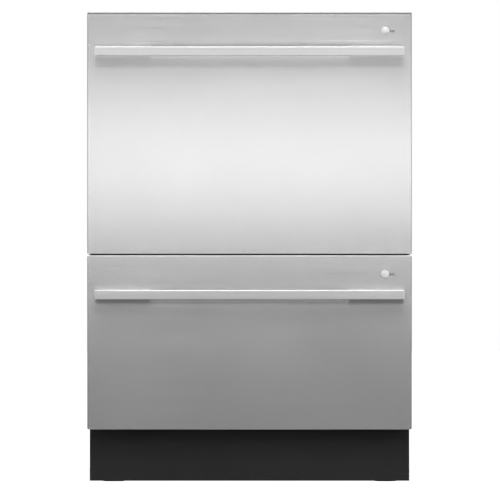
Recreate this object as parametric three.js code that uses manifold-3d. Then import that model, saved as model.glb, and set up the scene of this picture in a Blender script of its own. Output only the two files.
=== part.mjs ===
// A built-in dishwasher with two drawers, one above the other, under a black toe kick.
// Millimetres. +X is to the right of a person facing the fronts, +Y towards the wall behind, +Z up.
// The origin is on the floor, under the middle of the whole machine, handles included.
import * as THREE from "three";
import { mergeVertices } from "three/addons/utils/BufferGeometryUtils.js";
import Module from "manifold-3d";

const wasm = await Module();
wasm.setup();

// ---------- Driving dimensions ----------
const SEAT_GAP = 0.3; // between two pieces that rest on or run in each other
const RUNNING_GAP = 0.5; // between the nested members of a slide
const PLAIN_FIT = 1.5; // a loose fit inside the cabinet
const PAST = 1; // how far a cut reaches past the face it opens
const ROOT = 1; // how far a small feature is rooted in the body it grows from

// Fronts and toe kick, as seen from the room
const FRONT_WIDTH = 599;
const UPPER_FRONT_HEIGHT = 446;
const LOWER_FRONT_HEIGHT = 321;
const FRONT_GAP = 3; // the dark line between the fronts
const FRONT_THICKNESS = 20;
const FRONT_SHEET = 1.2;
const FRONT_CORNER = 2;
const FRONT_BACK_BORDER = 92; // how far the folded back of a front reaches inwards
const KICK_INSET = 4; // in from each side of the fronts
const KICK_CLEARANCE = 97; // floor to the lower front
const KICK_FLOOR_GAP = 1.5;
const KICK_OVERLAP = 5; // the kick's top stands this far above the lower front's bottom
const KICK_RECESS = 55; // behind the face of the fronts
const KICK_SHEET = 1.5;
const KICK_RETURN = 60;

// Handles
const HANDLE_END_INSET = 14; // in from each side of the fronts
const HANDLE_HEIGHT = 17;
const HANDLE_BLADE = 8;
const HANDLE_PROJECTION = 42;
const HANDLE_DROP = 64; // top of a front to the top of its handle
const HANDLE_CHAMFER = 0.9;
const HANDLE_FOOT_WIDTH = 100;
const HANDLE_FOOT_HEIGHT = 15;
const HANDLE_FOOT_INSET = 2;

// Start buttons
const BUTTON_RADIUS = 7.5;
const BUTTON_DROP = 34; // top of a front to the button's middle
const BUTTON_EDGE = 49; // right edge of a front to the button's middle
const BUTTON_PROUD = 1.8;
const BUTTON_DOME = 1;
const BUTTON_LENGTH = 9;
const BUTTON_COLLAR_WALL = 1.8;
const BUTTON_SIDES = 20;
const BUTTON_COLLAR_LENGTH = 8;

// Cabinet
const CABINET_INSET = 4.5; // in from each side of the fronts
const CABINET_DEPTH = 551;
const CABINET_SHEET = 1.2;
const CABINET_TOP_DROP = 3; // below the top of the upper front
const CABINET_FOLD = 3;
const CABINET_BOTTOM = 22;
const DOOR_GAP = 2; // fronts to cabinet
const REAR_INSET = 2.5;
const REAR_SHEET = 1;
const REAR_RETURN = 14;
const REAR_OPEN_HEIGHT = 150; // the back is open below this, for the hoses
const TRAY_SHEET = 1.5;
const TRAY_BOTTOM = 20;
const TRAY_UPSTAND = 42;
const RAIL_HEIGHT = 15;
const RAIL_DEPTH = 18;
const RAIL_SHEET = 1.2;

// Levelling feet
const FOOT_INSET_X = 42;
const FOOT_INSET_Y = 42;
const FOOT_STEM_RADIUS = 6;
const FOOT_STEM_TOP = 86;
const FOOT_PAD_RADIUS = 21;
const FOOT_PAD_HEIGHT = 11;
const FOOT_NUT_RADIUS = 10;
const FOOT_BOSS_RADIUS = 16;
const FOOT_BOSS_HEIGHT = 13;

// Telescopic slides
const SLIDE_LENGTH = 460;
const SLIDE_FRONT_INSET = 5;
const SLIDE_SHEET = 1.2;
const SLIDE_THICKNESS = 12.4;
const SLIDE_HEIGHT = 46;
const SLIDE_RISE = 40; // bottom of a tub to the middle of its slides
const SLIDE_HOLE_RADIUS = 3;
const SLIDE_HOLE_INSET = 40;

// Tubs
const TUB_WALL = 3.5;
const TUB_CORNER = 34;
const TUB_BOTTOM_ROUND = 14;
const TUB_REAR_SPACE = 45; // behind a tub, for the folding hoses
const TUB_FRONT_SPACE = 30; // between a front and its tub's front wall
const RIM_THICKNESS = 6;
const RIM_FLANGE = 3.7;
const LEDGE_TOP_HEIGHT = 60;
const LEDGE_BOTTOM_HEIGHT = 30;
const LEDGE_SIDE_INSET = 12;
const SUMP_RADIUS = 80;
const SUMP_DEPTH = 18;

// Wash parts
const MOTOR_RISE = 11; // bottom of a front to the bottom of its motor
const MOTOR_RADIUS = 70;
const MOTOR_HEIGHT = 30;
const MOTOR_BEVEL = 6;
const SHAFT_RADIUS = 6;
const FILTER_EDGE_GAP = 20;
const FILTER_HEIGHT = 10;
const FILTER_SHEET = 2.5;
const FILTER_HUB_RADIUS = 27;
const FILTER_KNOB_RADIUS = 30;
const FILTER_KNOB_HEIGHT = 3;
const FILTER_KNOB_OFFSET = 165;
const FILTER_GRIP_THICKNESS = 5;
const ARM_RADIUS = 214;
const ARM_HUB_RADIUS = 21;
const ARM_ROOT_HALF_WIDTH = 27;
const ARM_TIP_HALF_WIDTH = 17;
const ARM_THICKNESS = 11;
const ARM_HUB_RISE = 4; // the hub's cap above the arm
const ARM_RISE = 16; // tub floor to the underside of the arm

// Racks
const WIRE = 4;
const WELD = 0.5; // how far crossing wires sink into each other
const RACK_SIDE_GAP = 15;
const RACK_FRONT_GAP = 32;
const RACK_REAR_GAP = 12;
const RACK_CORNER = 24;
const HOOP_CORNER_STEPS = 1;
const HOOP_RISE = 12; // lowest wire to the lowest hoop
const HOOP_SPACING = 85; // most that two hoops of a wall lie apart, below the cup shelf
const RACK_RISE = 34; // tub floor to the rack's lowest wire
const RACK_TOP_DROP = 14; // below the rim
const RACK_WIRES_X = 5;
const FRONT_CROSS_WIRE = 27.5; // the rack's front to its first cross wire
const FRONT_TINE_ROW = 101.5; // the rack's front to its front row of tines
const FOLD_TINE_ROW = 185.5; // the rack's front to the row that folds
const REAR_TINE_ROW = 48.5; // the rack's back to its rear row of tines
const WIRES_BEHIND_FOLD = 2; // plain cross wires between the folding row and the rear row
const RACK_LEG_INSET = 17;
const TINE_HEIGHT = 60;
const TINE_ROW_START = -205;
const TINE_SPACING = 42;
const TINES_PER_ROW = 8;
const ROD_RADIUS = 2.5;
const ROD_SEAT = 1.2; // from a rod's underside down to the wires that carry it
const CLIP_WIDTH = 8;
const CLIP_WALL = 2.6;
const FOLD_TINE_HEIGHT = 68;
const FOLD_TINES = 6;
const CUP_ROD_LENGTH = 250;
const CUP_SHELF_DEPTH = 80;
const CUP_SHELF_WIRES = 6;
const CUP_WALL_GAP = 5;
const CUP_TOP_GAP = 8;
const BASKET_WIDTH = 78;
const BASKET_LENGTH = 225;
const BASKET_HEIGHT = 108;
const BASKET_WALL = 2.2;
const BASKET_CELLS = 3;
const BASKET_GRIP_HEIGHT = 38;
const BASKET_GRIP_THICKNESS = 8;
const BASKET_GRIP_ROOT = 9; // how far the grip's posts run down into the basket
const BASKET_EDGE_GAP = 8;
const BASKET_Y = 40;

// Detergent dispensers
const DISPENSER_WIDTH = 168;
const DISPENSER_HEIGHT = 70;
const DISPENSER_DEPTH = 14;
const DISPENSER_DROP = 82; // rim to the dispenser's middle
const DISPENSER_X = -15;
const CUP_WIDTH = 52;
const CUP_HEIGHT = 42;
const CUP_DEPTH = 10.5;
const CUP_X = -5;
const FLAP_MARGIN = 4;
const FLAP_THICKNESS = 3;
const FLAP_TRAVEL = 46;
const FLAP_GRIP_INSET = 3;
const FLAP_GRIP_WIDTH = 5;
const FLAP_GRIP_HEIGHT = 25;
const FLAP_GRIP_PROUD = 3;
const GUIDE_WIDTH = 3;
const CAP_X = 56;
const CAP_RADIUS = 17;
const CAP_THICKNESS = 5;
const CAP_STEM_RADIUS = 9;
const CAP_STEM_LENGTH = 8;
const CAP_GRIP_LENGTH = 27;
const CAP_GRIP_THICKNESS = 5;
const CAP_GRIP_PROUD = 4;

// Wash lids, which drop onto the rims when a drawer is shut
const LID_LIFT = 8;
const SEAL_WIDTH = 5;
const SEAL_HEIGHT = 5;
const SEAL_INSET = 0.7;
const SEAL_CHAMFER = 1;
const LID_MARGIN = 1;
const LID_THICKNESS = 16;
const LID_FLOOR = 3;
const LID_WALL = 4;
const EAR_WIDTH = 26;
const EAR_HEIGHT = 8;
const LIFTER_LENGTH = 96;
const LIFTER_DEPTH_BELOW = 46;
const LIFTER_GAP = 2;

// Control strips
const CONTROL_WIDTH = 430;
const CONTROL_HEIGHT = 10;
const CONTROL_SLOPE = 3;
const CONTROL_KEYS = 6;
const KEY_WIDTH = 26;
const KEY_DEPTH = 11;
const KEY_PROUD = 0.8;
const KEY_SPACING = 44;
const KEY_END_INSET = 26.4; // the strip's right end to the middle of its first key

// Water inlet, drain outlet and mains gland
const SERVICE_WIDTH = 150;
const SERVICE_HEIGHT = 58;
const SERVICE_DEPTH = 26;
const SERVICE_INSET = 58.8; // the cabinet's left wall to the block
const SERVICE_PLATE = 13;
const INLET_PLACE = 33; // the block's left side to the middle of each neck
const OUTLET_PLACE = 82.5;
const GLAND_PLACE = 124.5;
const INLET_RADIUS = 13;
const OUTLET_RADIUS = 9.5;
const GLAND_RADIUS = 8;
const NECK_BORE_SHARE = 0.68; // bore over outside radius of the three necks
const SERVICE_REAR_INSET = 6;

// ---------- Worked out from them ----------
const frontHalf = FRONT_WIDTH / 2;
const cabinetHalf = frontHalf - CABINET_INSET;
const kickHalf = frontHalf - KICK_INSET;
const handleHalf = frontHalf - HANDLE_END_INSET;
const totalDepth = HANDLE_PROJECTION + FRONT_THICKNESS + DOOR_GAP + CABINET_DEPTH;
const handleFaceY = -totalDepth / 2;
const frontFaceY = handleFaceY + HANDLE_PROJECTION;
const frontBackY = frontFaceY + FRONT_THICKNESS;
const cabinetFrontY = frontBackY + DOOR_GAP;
const cabinetBackY = totalDepth / 2;
const kickFaceY = frontFaceY + KICK_RECESS;

const lowerFrontBottom = KICK_CLEARANCE;
const upperFrontBottom = lowerFrontBottom + LOWER_FRONT_HEIGHT + FRONT_GAP;
const cabinetTop = upperFrontBottom + UPPER_FRONT_HEIGHT - CABINET_TOP_DROP;

// From the top of a front down to its wash lid, its lid's underside and its tub's rim
const headroom = CABINET_TOP_DROP + CABINET_SHEET + PLAIN_FIT;
const lidDrop = headroom + LID_THICKNESS;
const rimDrop = lidDrop + SEAL_HEIGHT + 2 * SEAT_GAP + RUNNING_GAP + LID_LIFT;
const railBottom = lowerFrontBottom + LOWER_FRONT_HEIGHT - headroom + RUNNING_GAP;

const insideHalf = cabinetHalf - CABINET_SHEET;
const slideWallX = insideHalf - SEAT_GAP;
const tubHalfX = slideWallX - SLIDE_THICKNESS - SEAT_GAP;
const tubFrontY = frontBackY + TUB_FRONT_SPACE;
const tubBackY = cabinetBackY - TUB_REAR_SPACE;
const tubHalfY = (tubBackY - tubFrontY) / 2;
const tubMidY = (tubBackY + tubFrontY) / 2;
const cavityHalfX = tubHalfX - TUB_WALL;
const cavityHalfY = tubHalfY - TUB_WALL;
const cavityFrontY = tubMidY - cavityHalfY;

// Heights inside a drawer, above the bottom of its front
const tubBottom = MOTOR_RISE + MOTOR_HEIGHT + SEAT_GAP + SUMP_DEPTH;
const tubFloor = tubBottom + TUB_WALL;
const filterTop = tubFloor + SEAT_GAP + FILTER_HEIGHT;
const armBottom = tubFloor + ARM_RISE;
const rackBottom = tubFloor + RACK_RISE;
const rackWireTop = rackBottom + 2 * WIRE - WELD;
const foldRodZ = rackWireTop + ROD_SEAT + ROD_RADIUS;

const rackHalfX = cavityHalfX - RACK_SIDE_GAP;
const rackFrontY = cavityFrontY + RACK_FRONT_GAP;
const rackBackY = tubMidY + cavityHalfY - RACK_REAR_GAP;
const rackHalfY = (rackBackY - rackFrontY) / 2;
const rackMidY = (rackBackY + rackFrontY) / 2;
const foldRowY = rackFrontY + FOLD_TINE_ROW;
const rearTineY = rackBackY - REAR_TINE_ROW;
const cupRodX = -(rackHalfX - 2 * WIRE - CUP_WALL_GAP);

const sealInnerX = cavityHalfX + SEAL_INSET;
const sealInnerY = cavityHalfY + SEAL_INSET;
const sealInnerCorner = TUB_CORNER - TUB_WALL + SEAL_INSET;
const lidHalfX = sealInnerX + SEAL_WIDTH + LID_MARGIN;
const lidHalfY = sealInnerY + SEAL_WIDTH + LID_MARGIN;
const lifterInnerX = lidHalfX + LIFTER_GAP;

// ---------- Finishes ----------
const finish = (color, roughness, metalness) =>
  new THREE.MeshStandardMaterial({ color, roughness, metalness });
const brushedSteel = finish(0xc4c5c6, 0.34, 1);
const handleSteel = finish(0xcfd0d1, 0.28, 1);
const polishedSteel = finish(0xe6e6e6, 0.12, 1);
const zincSheet = finish(0xa9adb0, 0.45, 1);
const runnerSteel = finish(0xb4b8bb, 0.3, 1);
const blackPlastic = finish(0x1d1d1e, 0.55, 0);
const tubPlastic = finish(0xd9dcdc, 0.4, 0);
const lidPlastic = finish(0xc3c8ca, 0.45, 0);
const greyPlastic = finish(0x8e9497, 0.5, 0);
const rackCoat = finish(0x9aa3aa, 0.42, 0);
const sealRubber = finish(0x3b3e40, 0.8, 0);
const motorShell = finish(0x2c2f31, 0.6, 0);

// ---------- Shape helpers ----------

/** A closed three.js geometry as a solid that can be joined and cut. */
function solid(geometry) {
  const bare = geometry.clone();
  bare.deleteAttribute("normal");
  bare.deleteAttribute("uv");
  const merged = mergeVertices(bare, 1e-4);
  return new wasm.Manifold(
    new wasm.Mesh({
      numProp: 3,
      vertProperties: new Float32Array(merged.attributes.position.array),
      triVerts: new Uint32Array(merged.index.array),
    }),
  );
}

/** A named mesh from a solid or a geometry. */
function piece(name, shape, material) {
  let geometry = shape;
  if (!shape.isBufferGeometry) {
    const out = shape.getMesh();
    geometry = new THREE.BufferGeometry()
      .setAttribute("position", new THREE.BufferAttribute(out.vertProperties, 3))
      .setIndex(new THREE.BufferAttribute(out.triVerts, 1));
    geometry.computeVertexNormals();
  }
  const mesh = new THREE.Mesh(geometry, material);
  mesh.name = name;
  return mesh;
}

/** A box between two corners. */
function block(low, high) {
  const geometry = new THREE.BoxGeometry();
  const corners = geometry.attributes.position;
  for (let i = 0; i < corners.count; i++) {
    for (let k = 0; k < 3; k++) {
      corners.setComponent(i, k, (corners.getComponent(i, k) > 0 ? high : low)[k]);
    }
  }
  return solid(geometry);
}

/** An upright cylinder from z0 to z1. */
function post(x, y, z0, z1, radius, sides = 16) {
  const geometry = new THREE.CylinderGeometry(radius, radius, z1 - z0, sides);
  geometry.rotateX(Math.PI / 2);
  geometry.translate(x, y, (z0 + z1) / 2);
  return solid(geometry);
}

/** A cylinder along Y from y0 to y1. */
function spigot(x, z, y0, y1, radius, sides = 16) {
  const geometry = new THREE.CylinderGeometry(radius, radius, y1 - y0, sides);
  geometry.translate(x, (y0 + y1) / 2, z);
  return solid(geometry);
}

/** A cylinder along X from x0 to x1. */
function rod(y, z, x0, x1, radius, sides = 8) {
  const geometry = new THREE.CylinderGeometry(radius, radius, x1 - x0, sides);
  geometry.rotateZ(Math.PI / 2);
  geometry.translate((x0 + x1) / 2, y, z);
  return solid(geometry);
}

/** A rounded rectangle as a shape, centred on the origin. */
function roundedShape(halfX, halfY, radius) {
  const r = Math.min(radius, halfX * 0.99, halfY * 0.99);
  const shape = new THREE.Shape();
  shape.absarc(halfX - r, halfY - r, r, 0, Math.PI / 2, false);
  shape.absarc(-halfX + r, halfY - r, r, Math.PI / 2, Math.PI, false);
  shape.absarc(-halfX + r, -halfY + r, r, Math.PI, 1.5 * Math.PI, false);
  shape.absarc(halfX - r, -halfY + r, r, 1.5 * Math.PI, 2 * Math.PI, false);
  shape.closePath();
  return shape;
}

/** A shape pulled up from z0 to z1, with its middle at (x, y). */
function slab(shape, x, y, z0, z1, curveSegments = 4) {
  const geometry = new THREE.ExtrudeGeometry(shape, {
    depth: z1 - z0,
    bevelEnabled: false,
    curveSegments,
  });
  geometry.translate(x, y, z0);
  return solid(geometry);
}

/** A profile of [x, z] points pulled along Y from y0 to y1. */
function pulledAlongY(points, y0, y1) {
  const shape = new THREE.Shape(points.map(([x, z]) => new THREE.Vector2(x, z)));
  const geometry = new THREE.ExtrudeGeometry(shape, { depth: y1 - y0, bevelEnabled: false });
  geometry.rotateX(Math.PI / 2);
  geometry.translate(0, y1, 0);
  return solid(geometry);
}

/** A profile of [y, z] points pulled along X from x0 to x1. */
function pulledAlongX(points, x0, x1) {
  const shape = new THREE.Shape(points.map(([y, z]) => new THREE.Vector2(y, z)));
  const geometry = new THREE.ExtrudeGeometry(shape, { depth: x1 - x0, bevelEnabled: false });
  geometry.applyMatrix4(new THREE.Matrix4().set(0, 0, 1, x0, 1, 0, 0, 0, 0, 1, 0, 0, 0, 0, 0, 1));
  return solid(geometry);
}

/** A rounded rectangle of a given inset at each height, skinned into one closed solid. */
function loft(halfX, halfY, middleY, corner, levels) {
  const CORNER_STEPS = 4;
  const rings = levels.map(([z, inset]) => {
    const r = Math.max(corner - inset, 2);
    const points = [];
    for (const [sx, sy, start] of [[1, 1, 0], [-1, 1, 1], [-1, -1, 2], [1, -1, 3]]) {
      for (let i = 0; i <= CORNER_STEPS; i++) {
        const a = ((start + i / CORNER_STEPS) * Math.PI) / 2;
        const x = sx * (halfX - inset - r) + r * Math.cos(a);
        const y = sy * (halfY - inset - r) + r * Math.sin(a);
        points.push([x, middleY + y, z]);
      }
    }
    return points;
  });
  const count = rings[0].length;
  const index = [];
  for (let k = 0; k + 1 < rings.length; k++) {
    for (let i = 0; i < count; i++) {
      const a = k * count + i;
      const b = k * count + ((i + 1) % count);
      index.push(a, b, b + count, a, b + count, a + count);
    }
  }
  const last = (rings.length - 1) * count;
  for (let i = 1; i + 1 < count; i++) index.push(0, i + 1, i, last, last + i, last + i + 1);
  const geometry = new THREE.BufferGeometry();
  geometry.setAttribute("position", new THREE.Float32BufferAttribute(rings.flat(2), 3));
  geometry.setIndex(index);
  return solid(geometry);
}

const joined = (solids) => solids.reduce((all, next) => all.add(next));

// ---------- Cabinet ----------

/** Top and sides, folded from one sheet, with the toe space cut out of the sides. */
function cabinetWrapper() {
  const skin = (grow) => {
    const half = cabinetHalf - grow;
    const fold = CABINET_FOLD - grow / 2;
    const top = cabinetTop - grow;
    const bottom = CABINET_BOTTOM - (grow ? PAST : 0);
    return pulledAlongY(
      [[-half, bottom], [half, bottom], [half, top - fold], [half - fold, top],
        [-half + fold, top], [-half, top - fold]],
      cabinetFrontY - grow,
      cabinetBackY + grow,
    );
  };
  const toeSpace = block(
    [-frontHalf, cabinetFrontY - PAST, 0],
    [frontHalf, kickFaceY + KICK_SHEET + SEAT_GAP, KICK_CLEARANCE + KICK_OVERLAP + SEAT_GAP],
  );
  return piece("cabinet_wrapper", skin(0).subtract(skin(CABINET_SHEET)).subtract(toeSpace), zincSheet);
}

/** A shallow pan that closes the back above the hoses. */
function rearPanel() {
  const half = insideHalf - SEAT_GAP;
  const back = cabinetBackY - REAR_INSET;
  const top = cabinetTop - CABINET_SHEET - CABINET_FOLD;
  const pan = block([-half, back - REAR_RETURN, REAR_OPEN_HEIGHT], [half, back, top]);
  const hollow = block(
    [-half + REAR_SHEET, back - REAR_RETURN - PAST, REAR_OPEN_HEIGHT + REAR_SHEET],
    [half - REAR_SHEET, back - REAR_SHEET, top - REAR_SHEET],
  );
  return piece("rear_panel", pan.subtract(hollow), zincSheet);
}

/** Middle of each levelling foot, as [name, x, y]. */
function footPlaces() {
  const x = insideHalf - FOOT_INSET_X;
  const frontY = kickFaceY + FOOT_INSET_Y;
  const backY = cabinetBackY - FOOT_INSET_Y;
  return [
    ["front_left_foot", -x, frontY],
    ["front_right_foot", x, frontY],
    ["rear_left_foot", -x, backY],
    ["rear_right_foot", x, backY],
  ];
}

/** The steel tray that carries the sides, with a threaded boss for each foot. */
function baseTray() {
  const half = insideHalf - SEAT_GAP;
  const frontY = kickFaceY + KICK_SHEET + SEAT_GAP;
  const backY = cabinetBackY - REAR_INSET;
  const top = TRAY_BOTTOM + TRAY_UPSTAND;
  let tray = block([-half, frontY, TRAY_BOTTOM], [half, backY, top]).subtract(
    block(
      [-half + TRAY_SHEET, frontY + TRAY_SHEET, TRAY_BOTTOM + TRAY_SHEET],
      [half - TRAY_SHEET, backY - TRAY_SHEET, top + PAST],
    ),
  );
  for (const [, x, y] of footPlaces()) {
    const bossTop = TRAY_BOTTOM + FOOT_BOSS_HEIGHT;
    tray = tray
      .add(post(x, y, TRAY_BOTTOM, bossTop, FOOT_BOSS_RADIUS, 12))
      .subtract(post(x, y, TRAY_BOTTOM - PAST, bossTop + PAST, FOOT_STEM_RADIUS + SEAT_GAP, 12));
  }
  return piece("base_tray", tray, zincSheet);
}

/** A screw foot: a round pad, a hexagon that bears on the tray's boss, and the stem. */
function levellingFoot([name, x, y]) {
  const nutTop = TRAY_BOTTOM - SEAT_GAP;
  const foot = joined([
    post(x, y, 0, FOOT_PAD_HEIGHT, FOOT_PAD_RADIUS),
    post(x, y, FOOT_PAD_HEIGHT - ROOT, nutTop, FOOT_NUT_RADIUS, 6),
    post(x, y, FOOT_PAD_HEIGHT - ROOT, FOOT_STEM_TOP, FOOT_STEM_RADIUS, 12),
  ]);
  return piece(name, foot, blackPlastic);
}

/** The rail between the two drawers, seen as the dark line between the fronts. */
function middleRail() {
  const half = insideHalf - SEAT_GAP;
  const top = railBottom + RAIL_HEIGHT;
  const outer = block([-half, cabinetFrontY, railBottom], [half, cabinetFrontY + RAIL_DEPTH, top]);
  const channel = block(
    [-half - PAST, cabinetFrontY + RAIL_SHEET, railBottom + RAIL_SHEET],
    [half + PAST, cabinetFrontY + RAIL_DEPTH + PAST, top - RAIL_SHEET],
  );
  return piece("middle_rail", outer.subtract(channel), blackPlastic);
}

/** The black kick plate with its side returns. */
function toeKick() {
  const half = kickHalf;
  const top = KICK_CLEARANCE + KICK_OVERLAP;
  const outer = block([-half, kickFaceY, KICK_FLOOR_GAP], [half, kickFaceY + KICK_RETURN, top]);
  const hollow = block(
    [-half + KICK_SHEET, kickFaceY + KICK_SHEET, KICK_FLOOR_GAP - PAST],
    [half - KICK_SHEET, kickFaceY + KICK_RETURN + PAST, top + PAST],
  );
  const besideCabinet = block(
    [-half - PAST, kickFaceY + KICK_SHEET, CABINET_BOTTOM - SEAT_GAP],
    [half + PAST, kickFaceY + KICK_RETURN + PAST, top + PAST],
  );
  return piece("toe_kick", outer.subtract(hollow).subtract(besideCabinet), blackPlastic);
}

/** The block at the back that holds the water inlet, the drain outlet and the mains gland. */
function serviceBlock() {
  const backY = cabinetBackY - REAR_INSET - TRAY_SHEET - SEAT_GAP;
  const bottom = TRAY_BOTTOM + TRAY_SHEET + SEAT_GAP;
  const top = bottom + TRAY_UPSTAND + SERVICE_HEIGHT;
  const neckZ = top - SERVICE_HEIGHT / 2;
  const neckEnd = cabinetBackY - SERVICE_REAR_INSET;
  const left = -insideHalf + SERVICE_INSET;
  const plateBack = backY - SERVICE_DEPTH + SERVICE_PLATE;
  let shape = block([left, backY - SERVICE_DEPTH, bottom], [left + SERVICE_WIDTH, plateBack, top]);
  const necks = [
    [INLET_PLACE, INLET_RADIUS],
    [OUTLET_PLACE, OUTLET_RADIUS],
    [GLAND_PLACE, GLAND_RADIUS],
  ];
  for (const [place, radius] of necks) {
    const x = left + place;
    const bore = radius * NECK_BORE_SHARE;
    shape = shape
      .add(spigot(x, neckZ, plateBack - ROOT, neckEnd, radius))
      .subtract(spigot(x, neckZ, plateBack + PAST, neckEnd + PAST, bore, 12));
  }
  return piece("service_connections", shape, greyPlastic);
}

// ---------- Slides ----------

/** A C channel along Y on one side, `near` to `far` off the cabinet wall, with its web at one end. */
function channel(side, near, far, halfHeight, webAtWall) {
  const place = (w, z) => [side * (slideWallX - w), z];
  const web = webAtWall ? near : far;
  const inside = webAtWall ? near + SLIDE_SHEET : far - SLIDE_SHEET;
  const lip = webAtWall ? far : near;
  const h = halfHeight;
  const k = halfHeight - SLIDE_SHEET;
  const outline = [
    [web, -h], [lip, -h], [lip, -k], [inside, -k],
    [inside, k], [lip, k], [lip, h], [web, h],
  ];
  const frontY = cabinetFrontY + SLIDE_FRONT_INSET;
  const bar = pulledAlongY(outline.map(([w, z]) => place(w, z)), frontY, frontY + SLIDE_LENGTH);
  const webMiddle = side * (slideWallX - (web + inside) / 2);
  const x0 = webMiddle - 2 * SLIDE_SHEET;
  const x1 = webMiddle + 2 * SLIDE_SHEET;
  return [SLIDE_HOLE_INSET, SLIDE_LENGTH - SLIDE_HOLE_INSET].reduce(
    (all, place) => all.subtract(rod(frontY + place, 0, x0, x1, SLIDE_HOLE_RADIUS, 10)),
    bar,
  );
}

/** The three nested members of both slides of one drawer. */
function slides(prefix) {
  const group = new THREE.Group();
  const step = SLIDE_SHEET + RUNNING_GAP;
  const half = SLIDE_HEIGHT / 2;
  for (const [hand, side] of [["left", -1], ["right", 1]]) {
    const outer = channel(side, 0, SLIDE_THICKNESS - step, half, true);
    const middle = channel(side, step, SLIDE_THICKNESS - SLIDE_SHEET, half - step, true);
    const inner = channel(side, 2 * step, SLIDE_THICKNESS, half - 2 * step, false);
    group.add(
      piece(`${prefix}_${hand}_slide_outer`, outer, runnerSteel),
      piece(`${prefix}_${hand}_slide_middle`, middle, runnerSteel),
      piece(`${prefix}_${hand}_slide_inner`, inner, runnerSteel),
    );
  }
  group.position.z = tubBottom + SLIDE_RISE;
  return group;
}

// ---------- Drawer front ----------

/** Button middle as [x, z], above the bottom of a front. */
const buttonPlace = (frontHeight) => [frontHalf - BUTTON_EDGE, frontHeight - BUTTON_DROP];

/** The stainless front: a folded pan with a wide return at the back and a collar for the button. */
function frontPanel(prefix, frontHeight) {
  const half = frontHalf;
  const outline = roundedShape(half, frontHeight / 2, FRONT_CORNER);
  const geometry = new THREE.ExtrudeGeometry(outline, {
    depth: FRONT_THICKNESS,
    bevelEnabled: false,
    curveSegments: 3,
  });
  geometry.rotateX(Math.PI / 2);
  geometry.translate(0, frontBackY, frontHeight / 2);
  const s = FRONT_SHEET;
  const hollow = block([-half + s, frontFaceY + s, s], [half - s, frontBackY - s, frontHeight - s]);
  const window = block(
    [-half + FRONT_BACK_BORDER, frontBackY - 2 * s, FRONT_BACK_BORDER],
    [half - FRONT_BACK_BORDER, frontBackY + PAST, frontHeight - FRONT_BACK_BORDER],
  );
  const [x, z] = buttonPlace(frontHeight);
  const bore = BUTTON_RADIUS + SEAT_GAP;
  const collarEnd = frontFaceY + BUTTON_COLLAR_LENGTH;
  const collar = spigot(x, z, frontFaceY + s / 2, collarEnd, bore + BUTTON_COLLAR_WALL, BUTTON_SIDES);
  const hole = spigot(x, z, frontFaceY - PAST, collarEnd + PAST, bore, BUTTON_SIDES);
  const shape = solid(geometry).subtract(hollow).subtract(window).add(collar).subtract(hole);
  return piece(`${prefix}_front_panel`, shape, brushedSteel);
}

/** A flat blade on two wide feet, one at each end. */
function handle(prefix, frontHeight) {
  const top = frontHeight - HANDLE_DROP;
  const bottom = top - HANDLE_HEIGHT;
  const y0 = handleFaceY;
  const y1 = handleFaceY + HANDLE_BLADE;
  const c = HANDLE_CHAMFER;
  const half = handleHalf;
  const blade = pulledAlongX(
    [[y0 + c, bottom], [y1 - c, bottom], [y1, bottom + c], [y1, top - c], [y1 - c, top],
      [y0 + c, top], [y0, top - c], [y0, bottom + c]],
    -half,
    half,
  );
  const foot = (side) => {
    const outside = side * (half - HANDLE_FOOT_INSET);
    const inside = side * (half - HANDLE_FOOT_INSET - HANDLE_FOOT_WIDTH);
    return block(
      [Math.min(outside, inside), y1 - 2 * c, bottom + c],
      [Math.max(outside, inside), frontFaceY - SEAT_GAP, bottom + HANDLE_FOOT_HEIGHT],
    );
  };
  return piece(`${prefix}_handle`, joined([blade, foot(-1), foot(1)]), handleSteel);
}

/** The round start button, with a slightly domed face, running in the front's collar. */
function startButton(prefix, frontHeight) {
  const [x, z] = buttonPlace(frontHeight);
  const r = BUTTON_RADIUS;
  const DOME_STEPS = 3;
  const profile = [new THREE.Vector2(0, 0), new THREE.Vector2(r, 0)];
  for (let i = 0; i <= DOME_STEPS; i++) {
    const a = ((i / DOME_STEPS) * Math.PI) / 2;
    const across = i === DOME_STEPS ? 0 : r * Math.cos(a);
    profile.push(new THREE.Vector2(across, BUTTON_LENGTH - BUTTON_DOME * (1 - Math.sin(a))));
  }
  const turned = solid(new THREE.LatheGeometry(profile, BUTTON_SIDES));
  const button = piece(`${prefix}_start_button`, turned, polishedSteel);
  button.rotation.x = Math.PI;
  button.position.set(x, frontFaceY - BUTTON_PROUD + BUTTON_LENGTH, z);
  return button;
}

/** The key strip on the tub's front ledge, hidden behind the front until the drawer opens. */
function controlPanel(prefix, rimTop) {
  const frontY = frontBackY + SEAT_GAP + PLAIN_FIT;
  const backY = tubMidY - lidHalfY - 2 * PLAIN_FIT;
  const z0 = rimTop + SEAT_GAP;
  const top = z0 + CONTROL_HEIGHT;
  const half = CONTROL_WIDTH / 2;
  const strip = pulledAlongX(
    [[frontY, z0], [backY, z0], [backY, top - CONTROL_SLOPE], [frontY, top]],
    -half,
    half,
  );
  const slope = -CONTROL_SLOPE / (backY - frontY);
  const keyY0 = (frontY + backY - KEY_DEPTH) / 2;
  const keyY1 = keyY0 + KEY_DEPTH;
  const faceAt = (y) => top + slope * (y - frontY);
  const keys = [];
  for (let i = 0; i < CONTROL_KEYS; i++) {
    const x = half - KEY_END_INSET - KEY_SPACING * i;
    const front = faceAt(keyY0);
    const back = faceAt(keyY1);
    keys.push(
      pulledAlongX(
        [[keyY0, front - ROOT], [keyY1, back - ROOT],
          [keyY1, back + KEY_PROUD], [keyY0, front + KEY_PROUD]],
        x - KEY_WIDTH / 2,
        x + KEY_WIDTH / 2,
      ),
    );
  }
  return piece(`${prefix}_control_panel`, joined([strip, ...keys]), blackPlastic);
}

// ---------- Tub and wash parts ----------

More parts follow.
